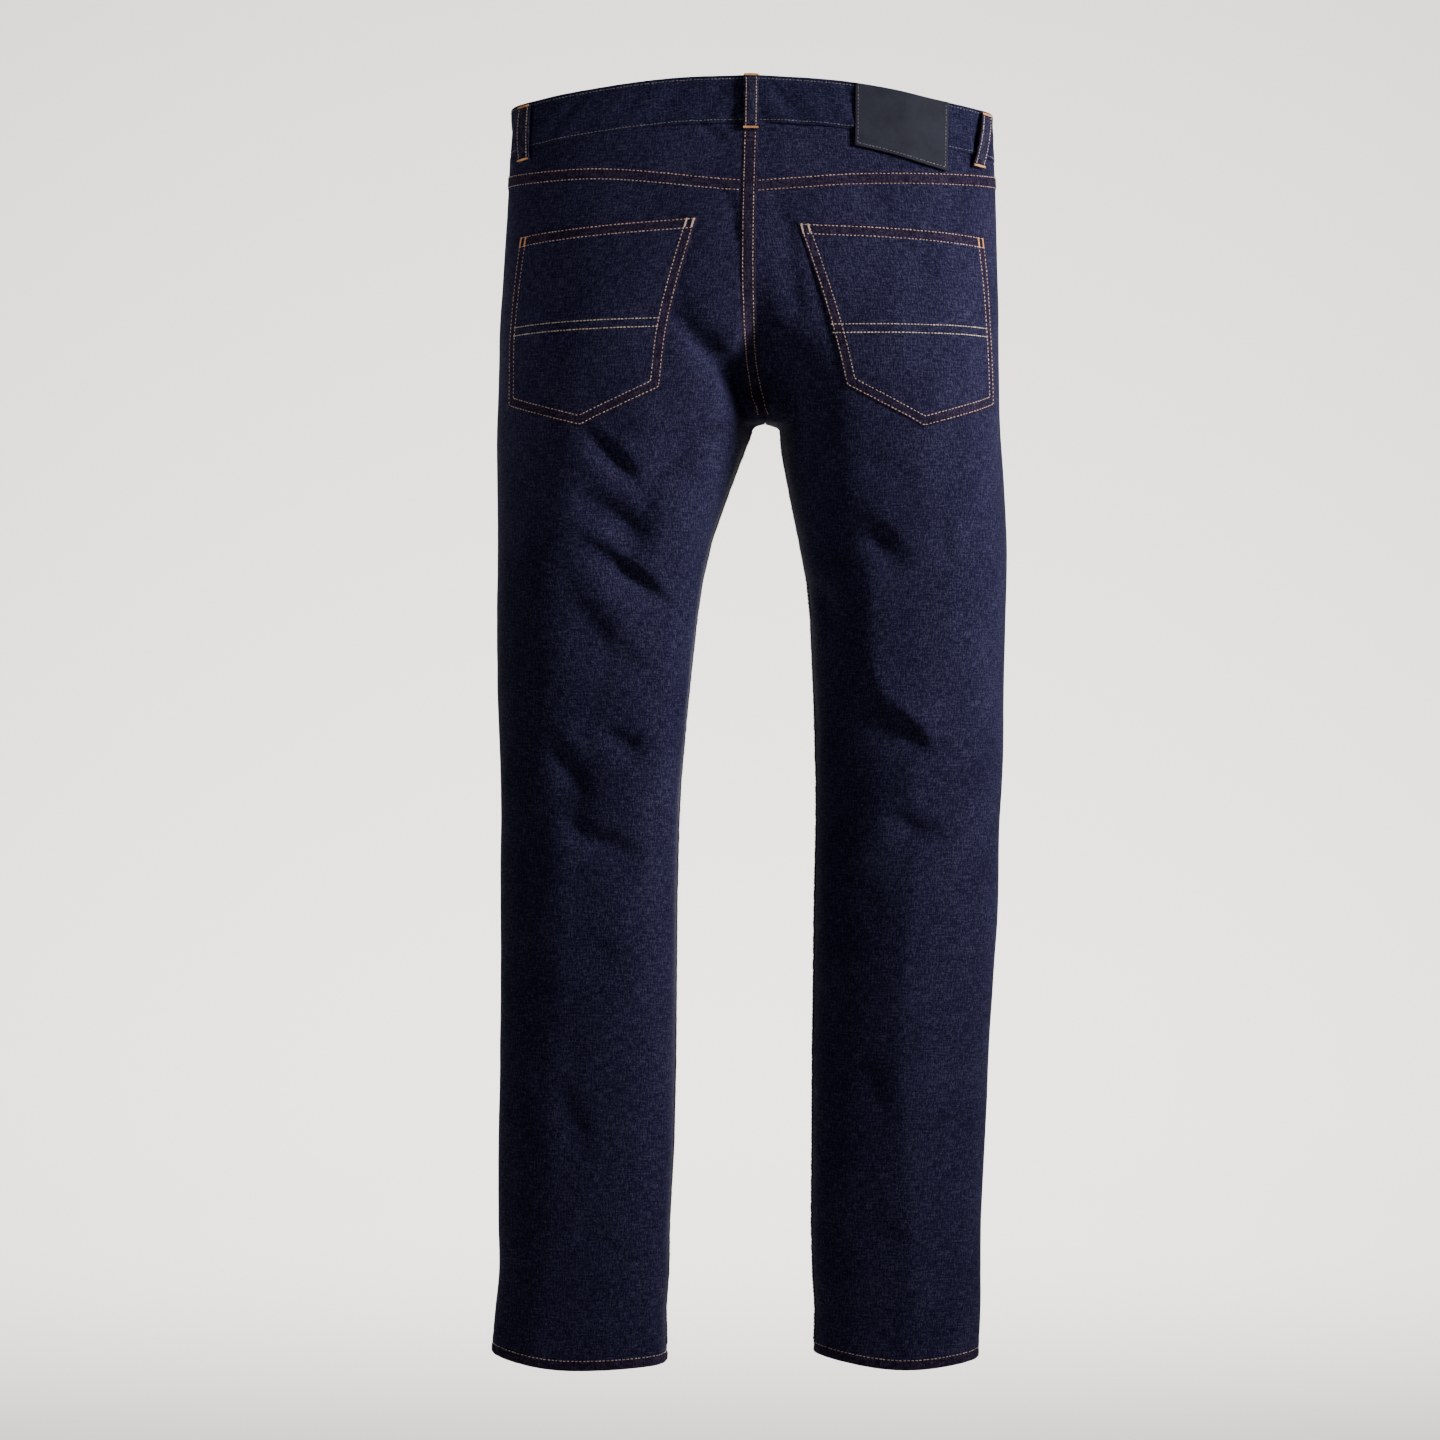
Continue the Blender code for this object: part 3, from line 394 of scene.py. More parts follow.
def step_up(x):
    x = np.clip(x, 0, 1)
    return x * x * (3 - 2 * x)


def on_front(u, edge, wide):
    """From 0 at the side seam to 1 on the front; edge is how far off the seam it starts."""
    return np.clip((0.5 - edge - u) / wide, 0, 1)


def on_back(u, edge, wide):
    return np.clip((u - (0.5 + edge)) / wide, 0, 1)


def section(name, z):
    return smooth(z, SECTIONS["z"], SECTIONS[name])


def centre_x(z):
    return smooth(z, CENTRE["z"], CENTRE["x"])


def gap(side, z):
    return np.interp(-z, -GAPS["z"], GAPS[side])


def ring(side, z):
    """Half a section: x from the centre line, y, and distance along it from the side seam."""
    wide = float(section(side, z)) - float(centre_x(z)) * SIGN[side]
    deep_back = float(section("back", z))
    deep_front = float(section("front", z))
    above = z - CROTCH_Z
    if above > 0:
        rise = math.sqrt(1 - (1 - min(above / RISE_MERGE, 1.0)) ** RISE_POWER)
        apart = (1 - rise ** OVAL) ** (1 / OVAL)
        half = wide / (1 + apart)
        middle = half * apart
        blend = SEAT_BLEND * math.sin(math.pi * min(above / RISE_MERGE, 1.0))
    else:
        inner = float(gap(side, z))
        half = (wide - inner) / 2
        middle = (wide + inner) / 2
        apart = 1.0
        blend = 0.0
    end = math.acos(-apart ** (OVAL / 2))
    angle = np.linspace(-end, end, 4 * RING_HALF + 1)
    c = np.cos(angle)
    s = np.sin(angle)
    x = middle + half * np.sign(c) * np.abs(c) ** (2 / OVAL)
    deep = np.where(s > 0, deep_back, deep_front)
    own = np.abs(s) ** (2 / OVAL)
    other = 0 * x
    if above > 0:
        other = np.clip(1 - np.abs((x + middle) / half) ** OVAL, 0, 1) ** (1 / OVAL)
    soft = blend * np.clip(1 - (x / (0.6 * wide)) ** 2, 0, 1) ** 2
    depth = deep * (own + other) / 2 + np.sqrt((deep * (own - other) / 2) ** 2 + soft ** 2)
    y = np.sign(s) * depth + float(section("aft", z))
    length = np.concatenate(([0.0], np.cumsum(np.hypot(np.diff(x), np.diff(y)))))
    return x, y, length - length[2 * RING_HALF] + SEAM_FORWARD


def heights():
    near = np.array((0.0, 0.35, 0.9, 1.8, 3.0, 4.8, 7.0, 10.0, 13.5, 17.0))
    even = np.arange(TABLE_BOTTOM, TABLE_TOP + 0.1, TABLE_STEP)
    even = even[np.abs(even - CROTCH_Z) > near[-1] + 1.5]
    return np.unique(np.concatenate((even, CROTCH_Z + near, CROTCH_Z - near)))


def along_and_across(x, z, row):
    """Where a point lies along a fold, from 0 to 1, and how far to its side."""
    along = np.array((row["x1"] - row["x0"], row["z1"] - row["z0"]), dtype=float)
    size = math.hypot(*along)
    t = ((x - row["x0"]) * along[0] + (z - row["z0"]) * along[1]) / size ** 2
    q = ((x - row["x0"]) * along[1] - (z - row["z0"]) * along[0]) / size
    return t, q


def fold_push(face, x, z):
    push = np.zeros_like(x)
    for fold in FOLDS:
        if fold["face"] == face:
            t, q = along_and_across(x, z, fold)
            taper = np.clip(1 - (2 * t - 1) ** 2, 0, 1) ** 1.5
            push += fold["depth"] * taper * np.exp(-(q / fold["width"]) ** 2)
    return push


def crease_push(face, x, z):
    """Finer creases: a trough along a bowed line, steep on one side, with a soft lip beyond it."""
    push = np.zeros_like(x)
    for number, row in enumerate(CREASES):
        if row["face"] != face:
            continue
        t, q = along_and_across(x, z, row)
        inside = np.clip(1 - (2 * t - 1) ** 2, 0, 1)
        wander = noise(3.4 * t + 7.3 * number, 0 * t + 0.6 * number, 61)
        wander = wander * min(2.6, 0.5 * row["steep"])
        inside = inside * (0.95 + 0.2 * noise(4.6 * t + 3.1 * number, 0 * t + number, 62))
        q = q - row["bow"] * inside - wander
        steep = np.exp(-(q / row["steep"]) ** 2)
        soft = np.exp(-np.abs(q / row["soft"]) ** 1.7)
        lip = row["lip"] * np.exp(-((q - 2.1 * row["steep"]) / (1.1 * row["steep"])) ** 2)
        push += inside ** 1.25 * (row["depth"] * np.where(q > 0, steep, soft) + lip)
    return push


def ridge_push(face, side, x, z):
    push = np.zeros_like(x)
    for row in RIDGES:
        if row["face"] == face and row["side"] == side:
            away = x - smooth(z, row["z"], row["x"])
            t = away / np.where(away > 0, row["plus"], row["minus"])
            t = np.sqrt(t ** 2 + row["round"] ** 2) - row["round"]
            push += row["high"] * (0.85 + 0.3 * noise(z / 85 + len(face), 0 * z, 91)) * np.exp(-t)
    return push * np.interp(z, *RIDGE_STRENGTH)


def inseam_push(z, inner):
    """The back of the left leg is fuller beside the inseam than the solid."""
    across = np.clip(1 - inner / 112, 0, 1) * step_up(inner / 26)
    return np.interp(z, *INSEAM_FULL) * across


def cleft_push(x, z, inner):
    """The hollow under the seat, steepest at its rim on the right."""
    line, depth, plus, minus = (
        np.interp(z, CLEFT["z"], CLEFT[name]) for name in ("x", "depth", "plus", "minus"))
    away = x - line
    rise = 1 - (np.abs(away) / np.where(away > 0, plus, minus)) ** 1.45
    across = 0.5 * (rise + np.sqrt(rise ** 2 + 0.012)) * (rise > -1.2) - 0.003
    free = np.maximum(step_up((z - CROTCH_Z) / 32), step_up(inner / 30))
    return -depth * np.clip(across, 0, 1.1) * free


@functools.lru_cache(maxsize=None)
def lattice_of(seed):
    return np.random.default_rng(SEED + seed).uniform(-1, 1, (64, 64))


def noise(a, b, seed):
    """Smooth noise between -1 and 1; a and b are measured in cells."""
    lattice = lattice_of(seed)
    i = np.floor(a).astype(int)
    j = np.floor(b).astype(int)
    u = step_up(a - i)
    v = step_up(b - j)
    low = lattice[i % 64, j % 64] * (1 - u) + lattice[(i + 1) % 64, j % 64] * u
    high = lattice[i % 64, (j + 1) % 64] * (1 - u) + lattice[(i + 1) % 64, (j + 1) % 64] * u
    return low * (1 - v) + high * v


def unit(vectors):
    return vectors / np.maximum(np.linalg.norm(vectors, axis=-1, keepdims=True), 1e-9)


class Skin:
    """The outer face of one side of the garment, as a dense grid of points and normals."""

    def __init__(self, side):
        self.side = side
        self.sign = SIGN[side]
        self.z = heights()
        self.u = np.linspace(0, 1, 2 * RING_HALF + 1)
        rows = [ring(side, z) for z in self.z]
        self.front_length = np.array([-row[2][0] for row in rows])
        self.back_length = np.array([row[2][-1] for row in rows])
        self.front_even = self.even_out(self.front_length)
        self.back_even = self.even_out(self.back_length)
        front = -self.arc(self.z[:, None], 1 - 2 * self.u[None, :RING_HALF], "front")
        back = self.arc(self.z[:, None], 2 * self.u[None, RING_HALF:] - 1, "back")
        arcs = np.concatenate((front, back), axis=1)
        x = np.array([np.interp(arc, row[2], row[0]) for arc, row in zip(arcs, rows)])
        y = np.array([np.interp(arc, row[2], row[1]) for arc, row in zip(arcs, rows)])
        z = np.repeat(self.z[:, None], x.shape[1], axis=1)
        x = self.ease_crotch(self.sign * x + centre_x(self.z)[:, None], arcs)
        y = self.ease_crotch(y, arcs)
        self.points = np.stack((x, y, z), axis=-1)
        self.normals = self.face_out()
        front = fold_push("front", x, z) * on_front(self.u, 0.03, 0.1)
        back = fold_push("back", x, z) * on_back(self.u, 0.03, 0.1)
        self.points = self.points + self.normals * (front + back)[..., None]
        inner = np.maximum(self.to_inner(z, self.u[None, :]), 0)
        hollow = cleft_push(x, z, inner)
        if side == "left":
            hollow += inseam_push(z, inner)
        self.points[..., 1] += hollow * np.clip((self.u - 0.6) / 0.15, 0, 1)
        rise = self.z > CROTCH_Z - 0.01
        for end in (0, -1):
            self.points[rise, end, 0] = centre_x(self.z[rise])
        self.normals = self.face_out()

    def even_out(self, values, spread=60.0):
        apart = (self.z[:, None] - self.z[None, :]) / spread
        weight = np.exp(-apart ** 2) * np.gradient(self.z)[None, :]
        weight = weight / weight.sum(axis=1, keepdims=True)
        return weight @ values

    def arc(self, z, share, face):
        real, even = self.lengths(z, face)
        return even * share + (real - even) * share ** STRETCH_POWER

    def share(self, z, arc, face):
        real, even = self.lengths(z, face)
        share = arc / real
        for _ in range(12):
            bent = (real - even) * np.clip(share, 0, 1.2) ** STRETCH_POWER
            share = 0.5 * share + 0.5 * (arc - bent) / even
        return share

    def lengths(self, z, face):
        real = self.front_length if face == "front" else self.back_length
        even = self.front_even if face == "front" else self.back_even
        return np.interp(z, self.z, real), np.interp(z, self.z, even)

    def ease_crotch(self, values, arcs):
        soft = self.even_out(values, EASE_SPREAD)
        end = np.where(arcs < 0, self.front_length[:, None], self.back_length[:, None])
        reach = np.clip((end - np.abs(arcs) - EASE_START) / EASE_REACH, 0, 1)
        level = np.clip(1.6 - np.abs(self.z - CROTCH_Z)[:, None] / EASE_HIGH, 0, 1)
        share = reach ** 2 * (3 - 2 * reach) * level
        return values * (1 - share) + soft * share

    def face_out(self):
        down = np.gradient(self.points, axis=0)
        round_ = np.gradient(self.points, axis=1)
        return unit(np.cross(round_, down) * self.sign)

    def look(self, table, z, u):
        z = np.clip(np.asarray(z, dtype=float), self.z[0], self.z[-1])
        u = np.clip(np.asarray(u, dtype=float), 0, 1)
        i = np.clip(np.searchsorted(self.z, z) - 1, 0, len(self.z) - 2)
        a = ((z - self.z[i]) / (self.z[i + 1] - self.z[i]))[..., None]
        step = u * (len(self.u) - 1)
        j = np.clip(step.astype(int), 0, len(self.u) - 2)
        b = (step - j)[..., None]
        low = table[i, j] * (1 - b) + table[i, j + 1] * b
        high = table[i + 1, j] * (1 - b) + table[i + 1, j + 1] * b
        return low * (1 - a) + high * a

    def at(self, z, u, out=0.0):
        z, u, out = np.broadcast_arrays(*[np.asarray(value, dtype=float) for value in (z, u, out)])
        return self.look(self.points, z, u) + unit(self.look(self.normals, z, u)) * out[..., None]

    def normal(self, z, u):
        return unit(self.look(self.normals, z, u))

    def u_side(self, z, arc):
        return 0.5 + 0.5 * self.share(z, arc, "back")

    def u_back(self, z, arc):
        return self.u_side(z, self.lengths(z, "back")[0] - arc)

    def u_front(self, z, arc):
        return 0.5 - 0.5 * self.share(z, self.lengths(z, "front")[0] - arc, "front")

    def u_away(self, z, away):
        """Where the back lies this far to the side of the centre seam, for flat arrays."""
        arcs = np.linspace(0, 40, 41)
        u = self.u_back(z[:, None], arcs[None, :])
        x = self.look(self.points, z[:, None] + 0 * u, u)[..., 0]
        far = np.maximum.accumulate(np.abs(x - centre_x(z)[:, None]) + arcs * 1e-6, axis=1)
        arc = np.array([np.interp(d, row, arcs) for d, row in zip(away, far)])
        return self.u_back(z, arc)

    # ---- what the cloth adds to the solids' skin ----
    def arc_at(self, z, u):
        """Signed distance along the cloth from the side seam, the front being negative."""
        front = -self.arc(z, np.clip(1 - 2 * u, 0, 1), "front")
        back = self.arc(z, np.clip(2 * u - 1, 0, 1), "back")
        return np.where(u < 0.5, front, back)

    def to_inner(self, z, u):
        """Distance along the cloth to the centre seam or the inseam."""
        end = np.where(u < 0.5, self.lengths(z, "front")[0], self.lengths(z, "back")[0])
        return end - np.abs(self.arc_at(z, u))

    def relief(self, z, u):
        """How far the cloth stands off the skin: creases, unevenness, puckers and laps."""
        z, u = np.broadcast_arrays(np.asarray(z, dtype=float), np.asarray(u, dtype=float))
        spot = self.look(self.points, z, u)
        x = spot[..., 0]
        arc = self.arc_at(z, u)
        inner = np.maximum(self.to_inner(z, u), 0)
        push = crease_push("front", x, z) * on_front(u, 0.02, 0.08)
        push += crease_push("back", x, z) * on_back(u, 0.02, 0.08)
        ridges = ridge_push("front", self.side, x, z) * on_front(u, 0.02, 0.1)
        ridges += ridge_push("back", self.side, x, z) * on_back(u, 0.02, 0.1)
        push += ridges * step_up(inner / 34)
        shift = 0.0 if self.side == "left" else 17.0
        uneven = 1.0 * noise(arc / 88 + shift, z / 130, 1)
        uneven += 0.5 * noise(arc / 36 + shift, z / 52 + 3, 2)
        uneven += 0.16 * noise(arc / 13 + shift, z / 19, 3)
        push += uneven * step_up(inner / 22)
        band = band_low(self.side, u)
        push += pucker(arc, band - z, shift, 4) * 0.30 * np.exp(-np.abs(band - z) / 7)
        push += hem_rope(arc, z - hem_z(self.side, u), shift)
        push += pucker(z, np.abs(arc), shift, 5) * 0.35 * np.exp(-(np.abs(arc) / 7) ** 2)
        below_band = np.clip((waist_z(self.side, 0.5) - 40 - z) / 6, 0, 1)
        push -= 0.55 * np.exp(-(arc / 2.6) ** 2) * below_band
        push += pucker(z, inner, shift, 6) * 0.35 * np.exp(-((inner - 7) / 6) ** 2)
        lap = edge_z(YOKE_SEAM, self.side, u) - z
        raised = step_up((LAP_WIDE - lap) / 3.5) * (lap > 0)
        ripple = pucker(arc, lap, shift, 7) * 0.3 * np.exp(-((lap - 6) / 9) ** 2)
        return push + on_back(u, 0, 0.004) * (LAP_RISE * raised + ripple)

    def cloth(self, z, u, out=0.0):
        return self.at(z, u, self.relief(z, u) + out)


def pucker(s, d, shift, seed):
    """Irregular ripples along a seam; s runs along it and d away from it."""
    wander = 2.6 * noise(s / 31 + shift, d / 40, seed + 20)
    size = 0.55 + 0.45 * noise(s / 47 + shift, 0 * s, seed + 30)
    return size * (np.sin(s / 1.9 + wander) + 0.5 * np.sin(s / 3.3 + 2 * wander + seed))


def hem_rope(arc, height, shift):
    """The slanted ripples of a turned-up hem that was pulled a little askew as it was sewn."""
    wander = 2.2 * noise(arc / 44 + shift, 0 * arc, 51)
    slant = np.sin((arc + 1.1 * height) / 2.05 + wander)
    over = np.exp(-((height - 4.5) / 4.5) ** 2)
    above = 0.3 * np.exp(-((height - 14) / 7) ** 2)
    groove = -0.4 * np.exp(-((height - 8.2) / 1.6) ** 2)
    return (0.42 * over + above * 0.6) * slant + groove + 0.35 * over


def edge_z(table, side, u):
    return smooth(u, table["u"], table[side])


def waist_z(side, u):
    return edge_z(WAIST_EDGE, side, u)


def band_low(side, u):
    return waist_z(side, u) - BAND_HEIGHT


def hem_z(side, u):
    """The hem's height: its five values, eased from each to the next."""
    t = np.linspace(0, 4, 121)
    i = np.minimum(t.astype(int), 3)
    f = (1 - np.cos(math.pi * (t - i))) / 2
    values = np.array(HEM_EDGE[side])
    return np.interp(u, np.linspace(0, 1, 121), values[i] * (1 - f) + values[i + 1] * f)


# ---- materials ----
def nodes_of(name):
    material = bpy.data.materials.new(name)
    material.use_nodes = True
    tree = material.node_tree
    shader = tree.nodes["Principled BSDF"]
    return material, tree, shader


def add(tree, kind, **values):
    """A node with some of its properties, and of its inputs by name, filled in."""
    node = tree.nodes.new(kind)
    for key, value in values.items():
        if key.startswith("in_"):
            node.inputs[key[3:].replace("_", " ")].default_value = value
        else:
            setattr(node, key, value)
    return node


def scaled(tree, source, scale, turn=0.0):
    mapping = add(tree, "ShaderNodeMapping", in_Scale=scale, in_Rotation=(0, 0, turn))
    tree.links.new(source, mapping.inputs["Vector"])
    return mapping.outputs["Vector"]


def noise_tex(tree, vector, detail, rough):
    node = add(tree, "ShaderNodeTexNoise", in_Scale=1.0, in_Detail=detail, in_Roughness=rough)
    tree.links.new(vector, node.inputs["Vector"])
    return node.outputs["Fac"]


def math_node(tree, operation, *values, clamp=False):
    node = add(tree, "ShaderNodeMath", operation=operation, use_clamp=clamp)
    for place, value in zip(node.inputs, values):
        if isinstance(value, (int, float)):
            place.default_value = value
        else:
            tree.links.new(value, place)
    return node.outputs[0]


def ramp(tree, factor, stops):
    node = tree.nodes.new("ShaderNodeValToRGB")
    while len(node.color_ramp.elements) < len(stops):
        node.color_ramp.elements.new(0.5)
    for element, (place, colour) in zip(node.color_ramp.elements, stops):
        element.position = place
        element.color = (*colour, 1.0)
    tree.links.new(factor, node.inputs["Fac"])
    return node.outputs["Color"]


def bump(tree, height, strength, distance, normal=None):
    node = add(tree, "ShaderNodeBump", in_Strength=strength, in_Distance=distance)
    tree.links.new(height, node.inputs["Height"])
    if normal is not None:
        tree.links.new(normal, node.inputs["Normal"])
    return node.outputs["Normal"]


def denim(name, dark, mid, light, slub=1.0, sheen=0.02):
    """Twill with an uneven dark warp and a paler weft that shows through as fine flecks.

    The cloth's own coordinates are metres across and along the warp.
    """
    material, tree, shader = nodes_of(name)
    cloth = add(tree, "ShaderNodeUVMap", uv_map="cloth").outputs["UV"]
    warp = noise_tex(tree, scaled(tree, cloth, (760, 120, 1)), 2.5, 0.6)
    fine = noise_tex(tree, scaled(tree, cloth, (1500, 330, 1)), 2.0, 0.6)
    weft = noise_tex(tree, scaled(tree, cloth, (110, 760, 1)), 2.0, 0.6)
    fleck = noise_tex(tree, scaled(tree, cloth, (820, 560, 1)), 3.0, 0.75)
    cloud = noise_tex(tree, scaled(tree, cloth, (26, 17, 1)), 4.0, 0.55)
    twill = add(tree, "ShaderNodeTexWave", wave_type="BANDS", bands_direction="X", in_Scale=0.32,
                in_Distortion=1.6, in_Detail=1.0, in_Detail_Scale=0.6)
    tree.links.new(scaled(tree, cloth, (1000, 1000, 1), math.radians(63)), twill.inputs["Vector"])
    twill = twill.outputs["Fac"]
    parts = ((warp, 0.9 * slub), (fine, 0.9), (weft, 0.75 * slub), (fleck, 1.35),
             (cloud, 0.3), (twill, 0.16))
    total = None
    for value, weight in parts:
        part = math_node(tree, "MULTIPLY", math_node(tree, "SUBTRACT", value, 0.5), weight)
        total = part if total is None else math_node(tree, "ADD", total, part)
    shade = math_node(tree, "ADD", total, 0.5, clamp=True)
    colour = ramp(tree, shade, ((0.22, dark), (0.5, mid), (0.82, light)))
    tree.links.new(colour, shader.inputs["Base Color"])
    shader.inputs["Roughness"].default_value = 0.86
    shader.inputs["Specular IOR Level"].default_value = 0.06
    shader.inputs["Sheen Weight"].default_value = sheen
    shader.inputs["Sheen Roughness"].default_value = 0.45
    shader.inputs["Sheen Tint"].default_value = (0.55, 0.6, 0.95, 1.0)
    weave = bump(tree, twill, 0.55, 0.00022)
    rough = bump(tree, math_node(tree, "ADD", warp, fleck), 0.6, 0.00028, weave)
    tree.links.new(rough, shader.inputs["Normal"])
    return material


def thread(name, colour, pale):
    material, tree, shader = nodes_of(name)
    place = add(tree, "ShaderNodeTexCoord").outputs["Object"]
    patchy = noise_tex(tree, scaled(tree, place, (160, 160, 160)), 2.0, 0.6)
    tone = ramp(tree, patchy, ((0.3, tuple(c * 0.62 for c in colour)), (0.55, colour), (0.8, pale)))
    tree.links.new(tone, shader.inputs["Base Color"])
    shader.inputs["Roughness"].default_value = 0.62
    shader.inputs["Sheen Weight"].default_value = 0.25
    ply = add(tree, "ShaderNodeTexWave", wave_type="BANDS", bands_direction="DIAGONAL",
              in_Scale=620.0, in_Distortion=0.6)
    tree.links.new(place, ply.inputs["Vector"])
    tree.links.new(bump(tree, ply.outputs["Fac"], 0.4, 0.0001), shader.inputs["Normal"])
    return material


def leather(name):
    material, tree, shader = nodes_of(name)
    cloth = add(tree, "ShaderNodeUVMap", uv_map="cloth").outputs["UV"]
    cells = add(tree, "ShaderNodeTexVoronoi", feature="DISTANCE_TO_EDGE", in_Scale=820.0,
                in_Randomness=1.0)
    tree.links.new(cloth, cells.inputs["Vector"])
    creases = ramp(tree, cells.outputs["Distance"],
                   ((0.0, (0, 0, 0)), (0.16, (1, 1, 1)), (1.0, (1, 1, 1))))
    mottle = noise_tex(tree, scaled(tree, cloth, (60, 60, 1)), 5.0, 0.6)
    soft = noise_tex(tree, scaled(tree, cloth, (420, 420, 1)), 3.0, 0.6)
    tone = math_node(tree, "ADD", math_node(tree, "MULTIPLY", mottle, 0.8),
                     math_node(tree, "MULTIPLY", soft, 0.2))
    colour = ramp(tree, tone, ((0.3, (0.0125, 0.0140, 0.0235)), (0.55, (0.0180, 0.0200, 0.0315)),
                               (0.8, (0.0220, 0.0256, 0.0390))))
    tree.links.new(colour, shader.inputs["Base Color"])
    shader.inputs["Roughness"].default_value = 0.78
    shader.inputs["Specular IOR Level"].default_value = 0.12
    grain = bump(tree, creases, 0.35, 0.00012)
    tree.links.new(bump(tree, soft, 0.3, 0.0003, grain), shader.inputs["Normal"])
    return material


def metal(name, colour):
    material, tree, shader = nodes_of(name)
    place = add(tree, "ShaderNodeTexCoord").outputs["Object"]
    worn = noise_tex(tree, scaled(tree, place, (300, 300, 300)), 5.0, 0.65)
    tone = ramp(tree, worn, ((0.32, tuple(c * 0.35 for c in colour)), (0.55, colour),
                             (0.8, tuple(min(1, c * 1.35) for c in colour))))
    tree.links.new(tone, shader.inputs["Base Color"])
    rough = ramp(tree, worn, ((0.3, (0.55,) * 3), (0.7, (0.28,) * 3)))
    tree.links.new(rough, shader.inputs["Roughness"])
    shader.inputs["Metallic"].default_value = 1.0
    tree.links.new(bump(tree, worn, 0.25, 0.0002), shader.inputs["Normal"])
    return material


DENIM_LOOK = denim(
    "denim", (0.0032, 0.0028, 0.0124), (0.0096, 0.0092, 0.0322), (0.0385, 0.0378, 0.0790))
SEAM_LOOK = denim(
    "denim_seam", (0.0040, 0.0026, 0.0105), (0.0125, 0.0086, 0.0255), (0.044, 0.032, 0.060))
BAND_LOOK = denim(
    "denim_band", (0.0030, 0.0030, 0.0120), (0.0086, 0.0090, 0.0310), (0.033, 0.034, 0.074))
LOOP_LOOK = denim(
    "denim_loop", (0.0045, 0.0042, 0.0130), (0.0130, 0.0125, 0.0340), (0.048, 0.046, 0.084), 1.2)
REVERSE_LOOK = denim(
    "denim_reverse", (0.060, 0.072, 0.115), (0.150, 0.170, 0.230), (0.330, 0.350, 0.400), 1.2, 0.1)
COPPER = thread("thread_copper", (0.500, 0.345, 0.280), (0.780, 0.630, 0.560))
PALE_COPPER = thread("thread_pale_copper", (0.430, 0.240, 0.130), (0.640, 0.440, 0.280))
PALE = thread("thread_pale", (0.500, 0.400, 0.290), (0.720, 0.640, 0.510))
BRIGHT = thread("thread_bright", (0.780, 0.350, 0.105), (0.920, 0.580, 0.280))
TONAL = thread("thread_tonal", (0.120, 0.105, 0.120), (0.260, 0.230, 0.230))
LEATHER = leather("patch_leather")
METAL = metal("button_metal", (0.42, 0.22, 0.12))


# ---- meshes ----
def finish_mesh(name, vertices, faces, looks, face_looks=None, uv=None, sharp=50):
    mesh = bpy.data.meshes.new(name)
    mesh.from_pydata((np.asarray(vertices) * MM).tolist(), [], faces)
    for look in looks:
        mesh.materials.append(look)
    if face_looks is not None:
        mesh.polygons.foreach_set("material_index", np.asarray(face_looks, dtype=np.int32))
    if uv is not None:
        layer = mesh.uv_layers.new(name="cloth")
        corner = np.empty(len(mesh.loops), dtype=np.int32)
        mesh.loops.foreach_get("vertex_index", corner)
        layer.data.foreach_set("uv", (np.asarray(uv)[corner] * MM).ravel())
    mesh.update()
    mesh.shade_smooth()
    mesh.set_sharp_from_angle(angle=math.radians(sharp))
    piece = bpy.data.objects.new(name, mesh)
    bpy.context.scene.collection.objects.link(piece)
    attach(piece, "root")
    return piece


def rim_depth(shape, amount=FOLD_ROUND):
    """How far the outer points of a cloth's edges sink, so that the edges look folded."""
    sink = np.zeros(shape)
    sink[0, :] = sink[-1, :] = amount
    sink[:, 0] = sink[:, -1] = amount
    inside = sink[1:-1, 1:-1]
    inside[0, :] = inside[-1, :] = np.maximum(inside[0, :], amount * 0.22)
    inside[:, 0] = inside[:, -1] = np.maximum(inside[:, 0], amount * 0.22)
    return sink


def cloth_piece(name, node, outer, inner, looks, uv, flip, border=None):
    """A cloth as a closed shell between two grids of points, which hides its CAD node.

    looks are the outer and the reverse material. Where border is given, it marks the outer faces
    that take the third look.
    """
    rows, cols = outer.shape[:2]
    count = rows * cols
    vertices = np.concatenate((outer.reshape(-1, 3), inner.reshape(-1, 3)))
    index = np.arange(count).reshape(rows, cols)
    a = index[:-1, :-1].ravel()
    b = index[:-1, 1:].ravel()
    c = index[1:, 1:].ravel()
    d = index[1:, :-1].ravel()
    front = np.stack((a, b, c, d), axis=1)
    back = np.stack((a, d, c, b), axis=1) + count
    rim = np.concatenate((index[0, :], index[1:, -1], index[-1, -2::-1], index[-2:0:-1, 0]))
    after = np.roll(rim, -1)
    side = np.stack((rim, rim + count, after + count, after), axis=1)
    faces = np.concatenate((front, back, side))
    if flip:
        faces = faces[:, ::-1]
    outside = np.zeros(len(front)) if border is None else np.where(border.ravel(), 2, 0)
    face_looks = np.concatenate((outside, np.ones(len(back)), np.zeros(len(side))))
    both = np.concatenate((uv.reshape(-1, 2), uv.reshape(-1, 2)))
    piece = finish_mesh(name, vertices, faces.tolist(), looks, face_looks, both)
    if node:
        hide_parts(node)
    declare(outer)


def graded(length, step=CLOTH_STEP, fine=EDGE_STEPS):
    """Distances from 0 to length, closer together near both ends."""
    fine = np.array([f for f in fine if f < length / 3])
    inside = length - 2 * fine[-1]
    middle = np.linspace(fine[-1], length - fine[-1], max(3, round(inside / step) + 1))
    return np.concatenate((fine[:-1], middle, length - fine[-2::-1]))


def declare(outer):
    """Measure the box of a cloth's cut piece, its width and length; the sizes are not kept."""
    wide, long = (
        float(np.linalg.norm(np.diff(outer, axis=axis), axis=-1).sum(axis=axis).max()) * MM
        for axis in (1, 0))
    wide, long = max(wide, LEAST_CUT), max(long, LEAST_CUT)


